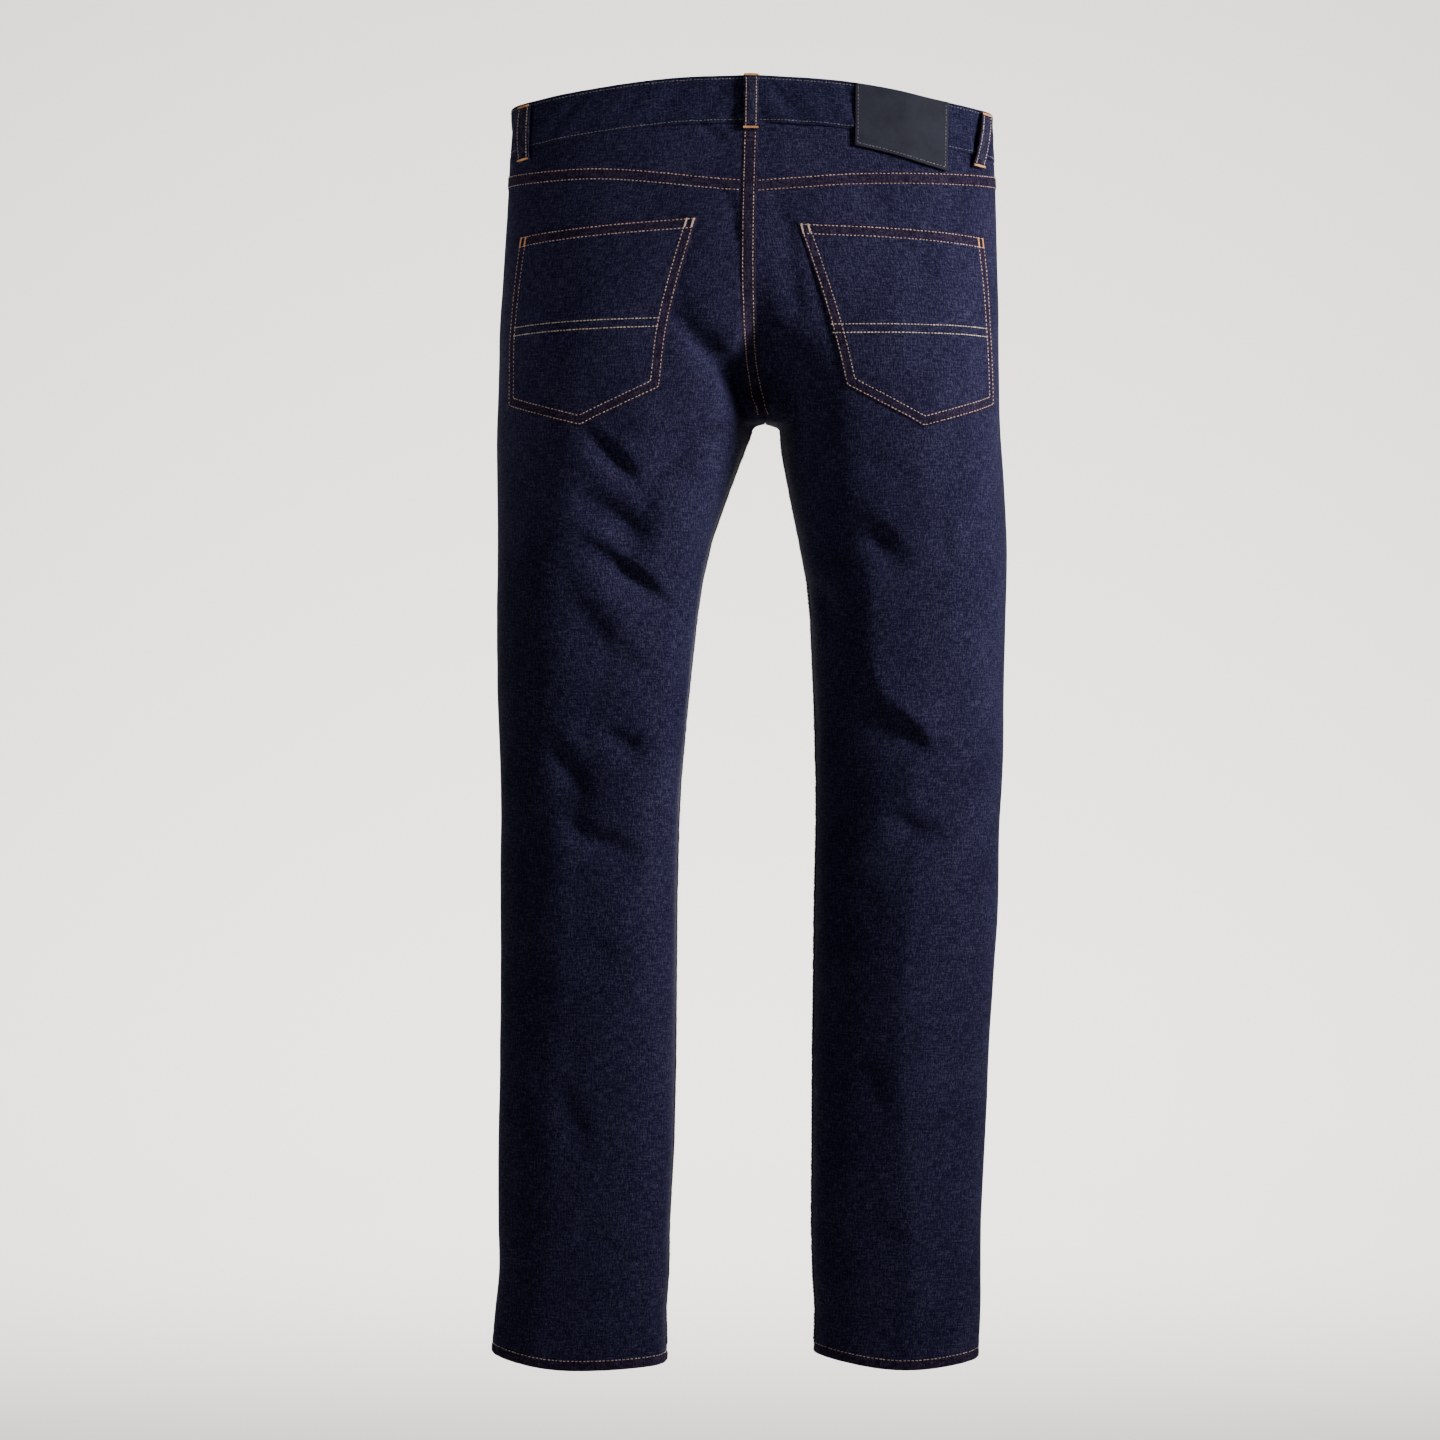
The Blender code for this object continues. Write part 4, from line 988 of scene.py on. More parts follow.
def keep_side(skin, points, z):
    """Keep points on their own side of the centre seam, clear of it by half the gap."""
    x = (points[..., 0] - centre_x(z)) * skin.sign
    near = np.where(points[..., 2] > CROTCH_Z, np.maximum(x, SEAM_GAP / 2), x)
    points[..., 0] = centre_x(z) + near * skin.sign
    return points


def leg_panel(skin, face, u_edges, top_edge, wide):
    """A front or back panel between u_edges(z, t), hung from top_edge(u)."""
    t = graded(wide) / wide
    top = float(np.mean(top_edge(u_edges(-60.0, t))))
    rows = top - graded(top - HEM_BASE)
    near = CROTCH_Z + np.array((26, 18, 12, 8, 5, 3, 1.5, 0.4,
                                -0.5, -1.4, -2.8, -4.5, -7, -10, -14, -20))
    rows = rows[(np.abs(rows - CROTCH_Z) > 24) | (rows > top - 30)]
    base = np.sort(np.concatenate((rows, near)))[::-1][:, None]
    lift = np.clip((base - LIFT_END) / (top - LIFT_END), 0, 1)
    drop = np.clip((HEM_EASE - base) / (HEM_EASE - HEM_BASE), 0, 1)
    z = base + 0 * t
    for _ in range(5):
        u = u_edges(z, t[None, :])
        z = base + lift * (top_edge(u) - top) + drop * (hem_z(skin.side, u) - HEM_BASE)
    thick = DENIM + HEM_EXTRA * np.clip((hem_z(skin.side, u) + HEM_DEEP - z) / 2 + 0.5, 0, 1)
    relief = skin.relief(z, u)
    sink = rim_depth(z.shape)
    if face == "front":
        relief = relief - TUCK_SINK * step_up((z - waist_z(skin.side, u) + BAND_HEIGHT + 0.6) / 1.6)
    outer = keep_side(skin, skin.at(z, u, relief - sink), z)
    inner = keep_side(skin, skin.at(z, u, relief - thick + 0.6 * sink), z)
    uv = np.stack((skin.arc_at(z, u) * skin.sign + 500, z), axis=-1)
    sewn = z < hem_z(skin.side, u) + HEM_ROW
    if face == "back":
        sewn = sewn | (edge_z(YOKE_SEAM, skin.side, u) - z < YOKE_ROWS[1])
    cloth_piece(face + "_leg_" + skin.side, face + "_" + skin.side, outer, inner,
                (DENIM_LOOK, REVERSE_LOOK, SEAM_LOOK), uv,
                skin.sign > 0, sewn[:-1, :-1] & sewn[1:, 1:])


def back_panel(skin):
    """A back leg, from the side seam to the centre seam and the inseam."""
    def edges(z, t):
        inset = SEAM_GAP / 4 / skin.lengths(z, "back")[0]
        return 0.5 + inset + (0.5 - 2 * inset) * t

    def top(u):
        return edge_z(YOKE_SEAM, skin.side, u) - SEAM_GAP / 2

    leg_panel(skin, "back", edges, top, BACK_WIDE)


def mouth_u(skin, z):
    """The curved edge of a front pocket's mouth."""
    low = band_low(skin.side, 0.5) - POCKET_MOUTH_DEEP
    up = np.clip((z - low) / POCKET_MOUTH_DEEP, 0, 1)
    inward = POCKET_MOUTH_WIDE * (1 - (1 - up) ** MOUTH_CURVE)
    return 0.5 - 0.5 * inward / skin.lengths(z, "front")[0]


def front_panel(skin):
    """A front leg, cut away along its pocket's mouth."""
    def edges(z, t):
        inset = SEAM_GAP / 4 / skin.lengths(z, "front")[0]
        outer = mouth_u(skin, z) - inset
        return outer + (inset - outer) * t

    def top(u):
        return band_low(skin.side, u) + TUCK

    leg_panel(skin, "front", edges, top, FRONT_WIDE)


def yoke(skin):
    """The yoke, tucked under the waistband and the back leg's fold."""
    inset = SEAM_GAP / 4 / skin.lengths(-30.0, "back")[0]
    u = np.clip(0.5 + 0.5 * graded(245.0) / 245.0, 0.5 + inset, 1 - inset)
    band = band_low(skin.side, u)
    seam = edge_z(YOKE_SEAM, skin.side, u)
    rows = (graded(40.0, 2.6, EDGE_STEPS[:6]) / 40.0)[:, None]
    z = (band + TUCK) * (1 - rows) + (seam - TUCK) * rows
    u = np.repeat(u[None, :], len(rows), axis=0)
    tucked = step_up((z - band + 0.6) / 1.6) + step_up((seam - z + 0.2) / 1.2)
    relief = skin.relief(z, u) - TUCK_SINK * tucked
    sink = rim_depth(z.shape)
    outer = keep_side(skin, skin.at(z, u, relief - sink), z)
    inner = keep_side(skin, skin.at(z, u, relief - DENIM + 0.6 * sink), z)
    uv = np.stack((skin.arc_at(z, u) * skin.sign + 140, z + 230), axis=-1)
    cloth_piece("yoke_cloth_" + skin.side, "yoke_" + skin.side, outer, inner,
                (DENIM_LOOK, REVERSE_LOOK), uv, skin.sign > 0)


def pocket_facing(skin):
    """The cloth that shows in a front pocket's mouth."""
    rows = (graded(FACING_DEEP, 5.0, EDGE_STEPS[:5]) / FACING_DEEP)[:, None]
    t = (graded(FACING_WIDE, 5.0, EDGE_STEPS[:5]) / FACING_WIDE)[None, :]
    z = band_low(skin.side, 0.5 - 0.1 * t) + TUCK - FACING_DEEP * rows
    length = skin.lengths(z, "front")[0]
    u = 0.5 - (FACING_INSET + 0.5 * FACING_WIDE * t) / length
    z = np.minimum(z, band_low(skin.side, u) + TUCK)
    depth = DENIM + PROUD_GAP
    own = 0.6 * noise(skin.arc_at(z, u) / 24, z / 24, 60) + skin.relief(z, u) * 0.5 - 0.5
    outer = skin.at(z, u, own - depth)
    inner = skin.at(z, u, own - depth - POCKET_THICK)
    uv = np.stack((skin.arc_at(z, u) * skin.sign + 40, z), axis=-1)
    cloth_piece("pocket_facing_cloth_" + skin.side, "pocket_facing_" + skin.side, outer, inner,
                (DENIM_LOOK, REVERSE_LOOK), uv, skin.sign > 0)


# ---- sewing ----
class Sewing:
    """Stitches of one colour, gathered into one mesh."""

    # Four stations along a stitch: place, girth and height above the cloth.
    SHAPE = ((-0.5, 0.0, -0.55), (-0.28, 0.95, 0.35), (0.28, 0.95, 0.35), (0.5, 0.0, -0.55))
    FACES = np.array(
        [(0, 1 + (k + 1) % 4, 1 + k, 1 + k) for k in range(4)]
        + [(1 + k, 1 + (k + 1) % 4, 5 + (k + 1) % 4, 5 + k) for k in range(4)]
        + [(9, 5 + k, 5 + (k + 1) % 4, 5 + (k + 1) % 4) for k in range(4)]
    )

    def __init__(self, name, look):
        self.name = name
        self.look = look
        self.vertices = []
        self.random = np.random.default_rng(SEED + len(name))

    def stitches(self, middle, along, out, length, radius):
        """Arrays of middles, directions and normals, one row per stitch."""
        middle, along, out = (np.atleast_2d(values) for values in (middle, along, out))
        side = np.cross(out, along)
        length = np.broadcast_to(np.asarray(length, dtype=float), (len(middle),))[:, None]
        radius = np.broadcast_to(np.asarray(radius, dtype=float), (len(middle),))[:, None]
        corners = []
        for place, girth, height in self.SHAPE:
            centre = middle + along * place * length + out * height * radius
            if girth == 0.0:
                corners.append(centre)
                continue
            for way in (out, side, -out, -side):
                corners.append(centre + way * radius * girth)
        self.vertices.append(np.stack(corners, axis=1).reshape(-1, 3))

    def row(self, points, normals, pitch=STITCH_PITCH, length=STITCH_LONG, radius=STITCH_RADIUS):
        """Stitches along a line of points on the cloth."""
        points = np.asarray(points)
        normals = np.asarray(normals)
        run = np.concatenate(([0.0], np.cumsum(np.linalg.norm(np.diff(points, axis=0), axis=1))))
        count = max(1, int(run[-1] / pitch))
        here = (np.arange(count) + 0.5) * run[-1] / count
        here = here + self.random.uniform(-0.12, 0.12, count) * pitch

        def read(values, place):
            place = np.clip(place, 0, run[-1])
            return np.stack([np.interp(place, run, values[:, axis]) for axis in range(3)], axis=1)

        start = read(points, here - 0.5 * length)
        end = read(points, here + 0.5 * length)
        out = unit(read(normals, here))
        along = unit(unit(end - start) + 0.05 * self.random.normal(size=(count, 3)))
        along = unit(along - out * np.sum(along * out, axis=1, keepdims=True))
        lengths = length * self.random.uniform(0.9, 1.06, count)
        girths = radius * self.random.uniform(0.88, 1.12, count)
        self.stitches((start + end) / 2, along, out, lengths, girths)

    def line(self, skin, z, u, out, *sizes):
        """Stitches along a line of places on the cloth; sizes are pitch, length and radius."""
        self.row(skin.cloth(z, u, out), skin.normal(z, u), *sizes)

    def bartack(self, middle, along, out, long, wide, lift=0.15):
        """A dense bar of thread: many short stitches across a line."""
        along = unit(along - out * np.dot(along, out))
        across = np.cross(out, along)
        count = max(4, int(long / 0.62))
        place = (((np.arange(count) + 0.5) / count - 0.5) * long)[:, None]
        up = lift + self.random.uniform(0, 0.12, (count, 1))
        aside = self.random.uniform(-0.12, 0.12, (count, 1))
        centre = middle + along * place + out * up + across * aside
        lean = np.where(np.arange(count) % 2, 0.12, -0.12)[:, None]
        ways = unit(across + along * lean)
        outs = np.repeat(out[None, :], count, axis=0)
        self.stitches(centre, ways, outs, wide * self.random.uniform(0.92, 1.1, count), 0.34)
        for edge in (-0.25, 0.25):
            self.stitches(middle + across * wide * edge + out * lift, along, out, long * 0.98, 0.4)

    def make(self):
        vertices = np.concatenate(self.vertices)
        count = len(vertices) // 10
        faces = (self.FACES[None] + 10 * np.arange(count)[:, None, None]).reshape(-1, 4)
        faces = [face[:3] if face[2] == face[3] else face for face in faces.tolist()]
        piece = finish_mesh(self.name, vertices, faces, (self.look,), sharp=70)
        return piece


# A felled seam's section, from its crisp fold to the side that lies flat.
STRIP = columns(
    "across height",
    (-1.0, 0.30), (-0.96, 0.72), (-0.88, 0.86), (-0.74, 0.80), (-0.5, 0.90), (-0.2, 0.94),
    (0.1, 0.90), (0.4, 0.80), (0.66, 0.62), (0.84, 0.36), (0.95, 0.10), (1.0, -0.05),
)


def seam_strip(name, flip, rows, spot, crisp):
    """A felled seam as a strip of folded cloth; spot(row, s, out) gives its points.

    s runs across from -1 to 1.  The fold stands up at the crisp end and the other end lies flat.
    """
    across, height = STRIP["across"], STRIP["height"] * LAP_RISE
    if crisp > 0:
        across = -across[::-1]
        height = height[::-1]
    places, stations = np.meshgrid(across, rows)
    outer = spot(stations, places, height[None, :] + 0 * places)
    inner = spot(stations, places, -0.45 + 0 * places)
    run = np.concatenate(([0.0], np.cumsum(np.linalg.norm(np.diff(outer[:, 5], axis=0), axis=1))))
    uv = np.stack(np.broadcast_arrays(across[None, :] * 6.5 + 60, run[:, None]), axis=-1)
    cloth_piece(name, None, outer, inner, (SEAM_LOOK, SEAM_LOOK), uv, flip)


def centre_spot(skins, half, shift):
    """Points of the centre back seam's strip: s from the wearer's right to left."""
    def spot(z, s, out):
        place = s * half + shift
        left, right = (
            skin.cloth(z, skin.u_away(z.ravel(), np.abs(place).ravel()).reshape(z.shape), out)
            for skin in skins.values())
        return np.where(place[..., None] >= 0, left, right)
    return spot


def inseam_spot(skin, half, shift):
    """Points of an inseam's strip: s from the front to the back."""
    def spot(z, s, out):
        place = s * half + shift
        u = np.where(place >= 0, skin.u_back(z, np.abs(place)), skin.u_front(z, np.abs(place)))
        return skin.cloth(z, u, out)
    return spot


def build_seams(skins, sewing):
    """The felled seams at centre back and down the inseams, each with its two rows."""
    low = CROTCH_Z + 3.0
    seam_strip("seam_centre_back", True, np.linspace(3.0, low, 92),
               centre_spot(skins, *CENTRE_STRIP), -1)
    z = np.linspace(1.0, low + 3, 160)
    on_yoke = z > YOKE_END
    for side, look, part in (("left", "copper", slice(None)), ("right", "copper", on_yoke),
                             ("right", "pale", ~on_yoke)):
        u = skins[side].u_away(z, np.full_like(z, CENTRE_ROWS[side]))
        sewing[look].line(skins[side], z[part], u[part], LAP_RISE * 0.95)
    for skin in skins.values():
        rows = np.concatenate((CROTCH_Z - np.array((7.0, 10.0, 14.0, 19.0)),
                               np.linspace(-272, SEAM_LOW - 2, 190)))
        seam_strip("seam_inseam_" + skin.side, skin.sign < 0, rows,
                   inseam_spot(skin, *INSEAM_STRIP), 1)
        z = np.linspace(CROTCH_Z - 12, SEAM_LOW, 400)
        for u in (skin.u_back(z, INSEAM_ROWS["back"]), skin.u_front(z, INSEAM_ROWS["front"])):
            sewing["copper"].line(skin, z, u, LAP_RISE * 0.9)


def sew_panels(skins, sewing):
    """The rows along the yokes, hems, front pocket mouths and fly, with the mouths' bartacks."""
    for skin in skins.values():
        u = np.linspace(0.502, 1 - 3.2 / 480, 240)
        for look, below in zip(("copper", "copper" if skin.side == "left" else "mixed"), YOKE_ROWS):
            z = edge_z(YOKE_SEAM, skin.side, u) - below
            clear = skin.to_inner(z, u) > YOKE_ROW_CLEAR[skin.side]
            sewing[look].line(skin, z[clear], u[clear], 0.06)
        u = np.linspace(0.0, 1.0, 500)
        sewing["copper"].line(skin, hem_z(skin.side, u) + HEM_ROW, u, 0.1, 3.4, 2.7)
        top = band_low(skin.side, 0.3)
        mouth = band_low(skin.side, 0.5) - POCKET_MOUTH_DEEP
        z = np.linspace(top - 2, mouth + 1, 90)
        for inset in MOUTH_ROWS:
            u = mouth_u(skin, z) - 0.5 * inset / skin.lengths(z, "front")[0]
            sewing["copper"].line(skin, z, u, 0.08)
        for z, arc in ((mouth - 1.0, 5.0), (top - 5, 98.0)):
            u = 0.5 - 0.5 * arc / float(skin.lengths(z, "front")[0])
            middle = skin.cloth(z, u)
            along = skin.cloth(z, u - 0.01) - middle
            sewing["bright"].bartack(middle, unit(along), skin.normal(z, u), 8.0, 1.9)
    fly_stitching(skins["left"], sewing)


def fly_stitching(skin, sewing):
    """The curved double row that holds the fly, and the edge rows below it."""
    top = float(band_low("left", 0.0)) - 2
    t = np.linspace(0, 1, 120)
    bend = np.clip((t - 0.62) / 0.38, 0, 1)
    for wide in FLY_ROWS:
        arc = wide * np.sqrt(np.clip(1 - bend ** 2, 0, 1)) + 2.0
        z = top + (FLY_BOTTOM + FLY_ROWS[0] - wide - top) * t
        sewing["copper"].line(skin, z, skin.u_front(z, arc), 0.08)
    z = np.linspace(FLY_BOTTOM - 2, CROTCH_Z + 5, 60)
    for arc in FLY_EDGE_ROWS:
        sewing["copper"].line(skin, z, skin.u_front(z, np.full_like(z, arc)), 0.08)
    for z, arc, turn in ((FLY_BOTTOM + 3, 5.0, 1.0), (FLY_BOTTOM + 42, 34.0, 0.5)):
        u = float(skin.u_front(z, arc))
        middle = skin.cloth(z, u)
        across = unit(skin.cloth(z, u + 0.01) - middle)
        down = unit(skin.cloth(z - 4, u) - middle)
        along = unit(across * turn + down * (1 - turn))
        sewing["bright"].bartack(middle, along, skin.normal(z, u), 9.0, 1.9)


# ---- back pockets ----
def pocket_corners(side):
    """Each corner's distance along the cloth from the side seam, and its height."""
    return {row["corner"]: np.array((row[side], row[side + "_z"])) for row in POCKET}


def pocket_fullness(arc, z, corner):
    """The pocket bags a little in the middle, and its mouth stands off the leg."""
    low = corner["bottom_outer"][1]
    high = corner["top_outer"][1]
    up = np.clip((z - low) / (high - low), -0.2, 1.05)
    middle = (corner["top_inner"][0] + corner["top_outer"][0]) / 2
    half = (corner["top_inner"][0] - corner["top_outer"][0]) / 2
    across = np.clip(1 - ((arc - middle) / half) ** 2, 0, 1)
    bag = 1.3 * across * np.clip(1 - (2 * up - 1) ** 2, 0, 1)
    mouth = 1.5 * across ** 1.5 * step_up((up - 0.75) / 0.25)
    return bag + mouth


def pocket_point(skin, arc, z, corner, out):
    """A point of the pocket: it shares a part of the leg's relief and has some of its own."""
    u = skin.u_side(z, arc)
    own = 0.35 * noise(arc / 21 + 5, z / 27, 70 if skin.side == "left" else 71)
    stand = 0.55 * skin.relief(z, u) + pocket_fullness(arc, z, corner) + own * 0.8
    return skin.at(z, u, stand + out)


def inset_path(corners, insets):
    """Corners of an open path moved inward, each edge by its own distance."""
    corners = [np.asarray(c, dtype=float) for c in corners]
    lines = []
    centre = np.mean(corners, axis=0)
    for a, b, inset in zip(corners, corners[1:], insets):
        along = (b - a) / np.linalg.norm(b - a)
        inward = np.array((-along[1], along[0]))
        if np.dot(centre - a, inward) < 0:
            inward = -inward
        lines.append((a + inward * inset, along))
    path = [lines[0][0]]
    for (a, u), (b, v) in zip(lines, lines[1:]):
        t = np.linalg.solve(np.array((u, -v)).T, b - a)[0]
        path.append(a + u * t)
    last, along = lines[-1]
    path.append(last + along * np.linalg.norm(corners[-1] - corners[-2]))
    return path


def dense(path, step=1.5):
    """Points along a path, a step apart."""
    points = []
    for a, b in zip(path, path[1:]):
        count = max(2, int(np.linalg.norm(b - a) / step))
        points += [a + (b - a) * k / count for k in range(count)]
    return np.array(points + [path[-1]])


def back_pocket(skin, sewing):
    """A back pocket with its stitching and bartacks."""
    corner = pocket_corners(skin.side)
    wide = corner["top_inner"][0] - corner["top_outer"][0]
    across = graded(wide, 3.0) / wide
    down = (graded(POCKET_LONG, 3.0) / POCKET_LONG)[:, None, None]
    top = corner["top_inner"] + (corner["top_outer"] - corner["top_inner"]) * across[:, None]
    tip = corner["tip"][0] - corner["bottom_inner"][0]
    tip = tip / (corner["bottom_outer"][0] - corner["bottom_inner"][0])
    nearest = int(np.argmin(np.abs(across - tip)))
    across_low = across.copy()
    across_low[nearest] = tip
    low = [corner[name] for name in ("bottom_inner", "tip", "bottom_outer")]
    bottom = np.stack([np.interp(across_low, (0.0, tip, 1.0), [c[k] for c in low]) for k in (0, 1)],
                      axis=-1)
    grid = top[None] * (1 - down) + bottom[None] * down
    bow = POCKET_BOW * np.sin(math.pi * down[..., 0]) * (1 - across[None, :]) ** 2
    arc = grid[..., 0] + bow
    z = grid[..., 1]
    sink = rim_depth(z.shape)
    outer = pocket_point(skin, arc, z, corner, POCKET_OUT - sink)
    inner = pocket_point(skin, arc, z, corner, 0.25 + 0.3 * sink)
    uv = np.stack((arc * skin.sign + 300, z + 90), axis=-1)
    sewn = np.minimum(np.minimum(across, 1 - across)[None, :] * wide,
                      np.minimum(down, 1 - down)[..., 0] * POCKET_LONG) < POCKET_RIM
    cloth_piece("back_pocket_cloth_" + skin.side, "back_pocket_" + skin.side, outer, inner,
                (DENIM_LOOK, REVERSE_LOOK, SEAM_LOOK), uv,
                skin.sign < 0, sewn[:-1, :-1] & sewn[1:, 1:])

    def sew(colour, path, **options):
        line = dense(path)
        edge = np.interp(line[:, 0], *zip(corner["top_outer"], corner["top_inner"]))
        line = line[line[:, 1] < edge - 0.9]
        u = skin.u_side(line[:, 1], line[:, 0])
        lean = np.clip((corner["top_inner"][1] - line[:, 1]) / 150.0, 0, 1)
        share = np.clip((line[:, 0] - corner["bottom_outer"][0]) / 150.0, 0, 1)
        bowed = line[:, 0] + POCKET_BOW * np.sin(math.pi * lean) * share ** 2
        points = pocket_point(skin, bowed, line[:, 1], corner, POCKET_OUT + 0.06)
        sewing[colour].row(points, skin.normal(line[:, 1], u), **options)

    order = ("top_outer", "bottom_outer", "tip", "bottom_inner", "top_inner")
    for insets in POCKET_ROWS:
        sew("copper", inset_path([corner[name] for name in order], insets))
    for drop in POCKET_MOUTH_ROWS:
        sew("copper", [corner["top_outer"] + (2.0, -drop), corner["top_inner"] - (2.0, drop)])
    # Plain decoration: two straight parallel pale rows across the pocket.
    for drop in POCKET_CROSS_ROWS:
        ends = [corner["top_outer"] + (10.2, -drop - 1), corner["top_inner"] + (-14.5, -drop - 8)]
        sew("pale", ends, pitch=2.9, length=2.6, radius=0.42)
    for name, inward, colour in (("top_outer", 2.6, "bright"), ("top_outer", 8.2, "bright"),
                                 ("top_inner", -2.8, "copper"), ("top_inner", -8.6, "copper")):
        arc, z = corner[name] + (inward, -5.6)
        middle, lower = (pocket_point(skin, arc, z - step, corner, POCKET_OUT) for step in (0, 4))
        out = skin.normal(z, float(skin.u_side(z, arc)))
        sewing[colour].bartack(middle, unit(lower - middle), out, 9.5 * 0.9, 1.5)


# ---- waistband, loops, patch, button ----
def band_stations(skins):
    """The waistband's course: side, u and standing out, from its hidden end to its outer end."""
    left, right = (float(np.interp(0.0, skin.z, skin.front_length)) for skin in skins.values())
    inward = -(BAND_THICK + 2 * SEAM_GAP)
    stations = [("left", 0.5 * arc / left, inward) for arc in np.linspace(UNDERLAP, 1.0, 14)]
    for arc in np.linspace(1.0, BAND_EASE, 22):
        out = np.clip((arc - BAND_FREE) / (BAND_EASE - BAND_FREE), 0, 1)
        stations.append(("right", 0.5 * arc / right, inward * (1 - out) ** 2 * (1 + 2 * out)))
    stations += [("right", u, 0.0) for u in np.linspace(0.5 * BAND_EASE / right, 1, 130)[1:]]
    stations += [("left", u, 0.0) for u in np.linspace(1, 0, 150)[1:]]
    stations += [("right", 0.5 * arc / right, 0.0) for arc in (3.0, 6.0, OVERLAP - 0.8, OVERLAP)]
    return stations


def band_wave(side, u, drop):
    """The waistband's unevenness: soft waves, and puckers along its two sewn edges."""
    shift = 3.0 if side == "left" else 29.0
    arc = u * 470.0
    wave = 0.8 * noise(arc / 42 + shift, drop / 30, 81)
    wave += 0.4 * noise(arc / 17 + shift, drop / 11, 82)
    slanted = 1.1 * noise((arc + 0.9 * drop) / 11 + shift, (arc - drop) / 60, 84)
    wave += slanted * np.clip(drop / 12, 0, 1)
    edge = np.exp(-(drop / 7) ** 2) + np.exp(-((BAND_HEIGHT - drop) / 8) ** 2)
    return wave * np.clip((1 - u) / 0.03, 0.2, 1) + 0.22 * pucker(arc, drop, shift, 83) * edge


def band_point(skins, side, u, drop, out):
    skin = skins[side]
    z = waist_z(side, u) - drop
    return skin.at(z, u, out + band_wave(side, u, drop))


def waistband(skins, sewing):
    """The waistband, in one strip that laps at centre front."""
    stations = band_stations(skins)
    drops = graded(BAND_HEIGHT, 2.8, (0.0, 0.35, 0.9, 1.7, 2.8, 4.4, 6.4))
    outer, inner = [], []
    for drop in drops:
        near = min(drop, BAND_HEIGHT - drop)
        sink = 0.75 * (1 - min(near / 1.3, 1.0)) ** 2
        groove = sum(0.22 * math.exp(-((drop - row) / 0.9) ** 2) for row in BAND_ROWS)
        lift = BAND_LIFT - sink - groove
        outer.append([band_point(skins, s, u, drop, out + (lift if out == 0.0 else -sink))
                      for s, u, out in stations])
        inner.append([band_point(skins, s, u, drop, out - BAND_THICK + sink)
                      for s, u, out in stations])
    outer = np.array(outer)
    inner = np.array(inner)
    run = np.concatenate(([0.0], np.cumsum(np.linalg.norm(np.diff(outer[5], axis=0), axis=1))))
    uv = np.stack(np.broadcast_arrays(drops[:, None] + 20, run[None, :]), axis=-1)
    cloth_piece("waistband_cloth", "waistband", outer, inner, (BAND_LOOK, BAND_LOOK), uv,
                True)
    line = [(s, u) for s, u, out in stations if out == 0.0]
    for drop in BAND_ROWS:
        points = [band_point(skins, s, u, drop, BAND_LIFT - 0.05) for s, u in line]
        normals = [skins[s].normal(waist_z(s, u) - drop, u) for s, u in line]
        sewing["tonal"].row(points, normals, 3.0, 2.4, 0.3)


def belt_loop(skins, loop, sewing):
    """A loop of folded cloth that stands off the waistband between its bartacks."""
    rows = graded(LOOP_LONG, 2.4, (0.0, 0.6, 1.4, 2.6)) / LOOP_LONG
    cols = np.array((-0.5, -0.485, -0.45, -0.38, -0.26, -0.1, 0.1, 0.26, 0.38, 0.45, 0.485, 0.5))
    clear = SEAM_GAP + 0.25
    turn = {"belt_loop_back_left": 1.3, "belt_loop_back_right": -1.0}.get(loop["name"], 0.4)

    def spot(r, c, out):
        arc = loop["arc_top"] * (1 - r) + loop["arc_low"] * r + c * LOOP_WIDTH
        side = loop["side"]
        if arc < 0:
            side = "right" if side == "left" else "left"
        skin = skins[side]
        place = skin.u_back if loop["face"] == "back" else skin.u_front
        z = float(waist_z(side, place(WAIST_LEVEL, abs(arc)))) - loop["drop"] - LOOP_LONG * r
        u = float(place(z, abs(arc)))
        stand = clear + BAND_LIFT + LOOP_STAND * math.sin(math.pi * min(max(r, 0), 1)) ** 0.7
        stand += turn * c * math.sin(math.pi * r) * 0.8
        return skin.at(z, u, stand + out), skin.normal(z, u)

    outer = np.zeros((len(rows), len(cols), 3))
    inner = np.zeros_like(outer)
    for i, r in enumerate(rows):
        sink = 0.55 * (1 - min(min(r, 1 - r) * LOOP_LONG / 1.5, 1.0)) ** 2
        for k, c in enumerate(cols):
            edge = 0.7 * (1 - min((0.5 - abs(c)) / 0.06, 1.0)) ** 2
            hump = 0.28 * math.cos(math.pi * c * 1.6)
            groove = 0.25 * math.exp(-((abs(c) - LOOP_ROW) / 0.05) ** 2)
            outer[i, k] = spot(r, c, LOOP_THICK - sink - edge + hump - groove)[0]
            inner[i, k] = spot(r, c, 0.3 * edge)[0]
    uv = np.stack(np.meshgrid(cols * LOOP_WIDTH + 700, rows * LOOP_LONG), axis=-1)
    flip = (loop["side"] == "left") == (loop["face"] == "front")
    cloth_piece(loop["name"] + "_cloth", loop["name"], outer, inner, (LOOP_LOOK, LOOP_LOOK), uv,
                flip)
    for c in (-LOOP_ROW, LOOP_ROW):
        spots = [spot(r, c, LOOP_THICK + 0.05) for r in np.linspace(0.06, 0.94, 30)]
        sewing["copper"].row(*zip(*spots), 2.7, 2.2)
    for r in (0.028, 0.965):
        middle, out = spot(r, 0.0, LOOP_THICK + 0.1)
        along = unit(spot(r, 0.4, LOOP_THICK)[0] - spot(r, -0.4, LOOP_THICK)[0])
        sewing["bright"].bartack(middle, along, unit(out), LOOP_WIDTH * 1.02, 2.0)


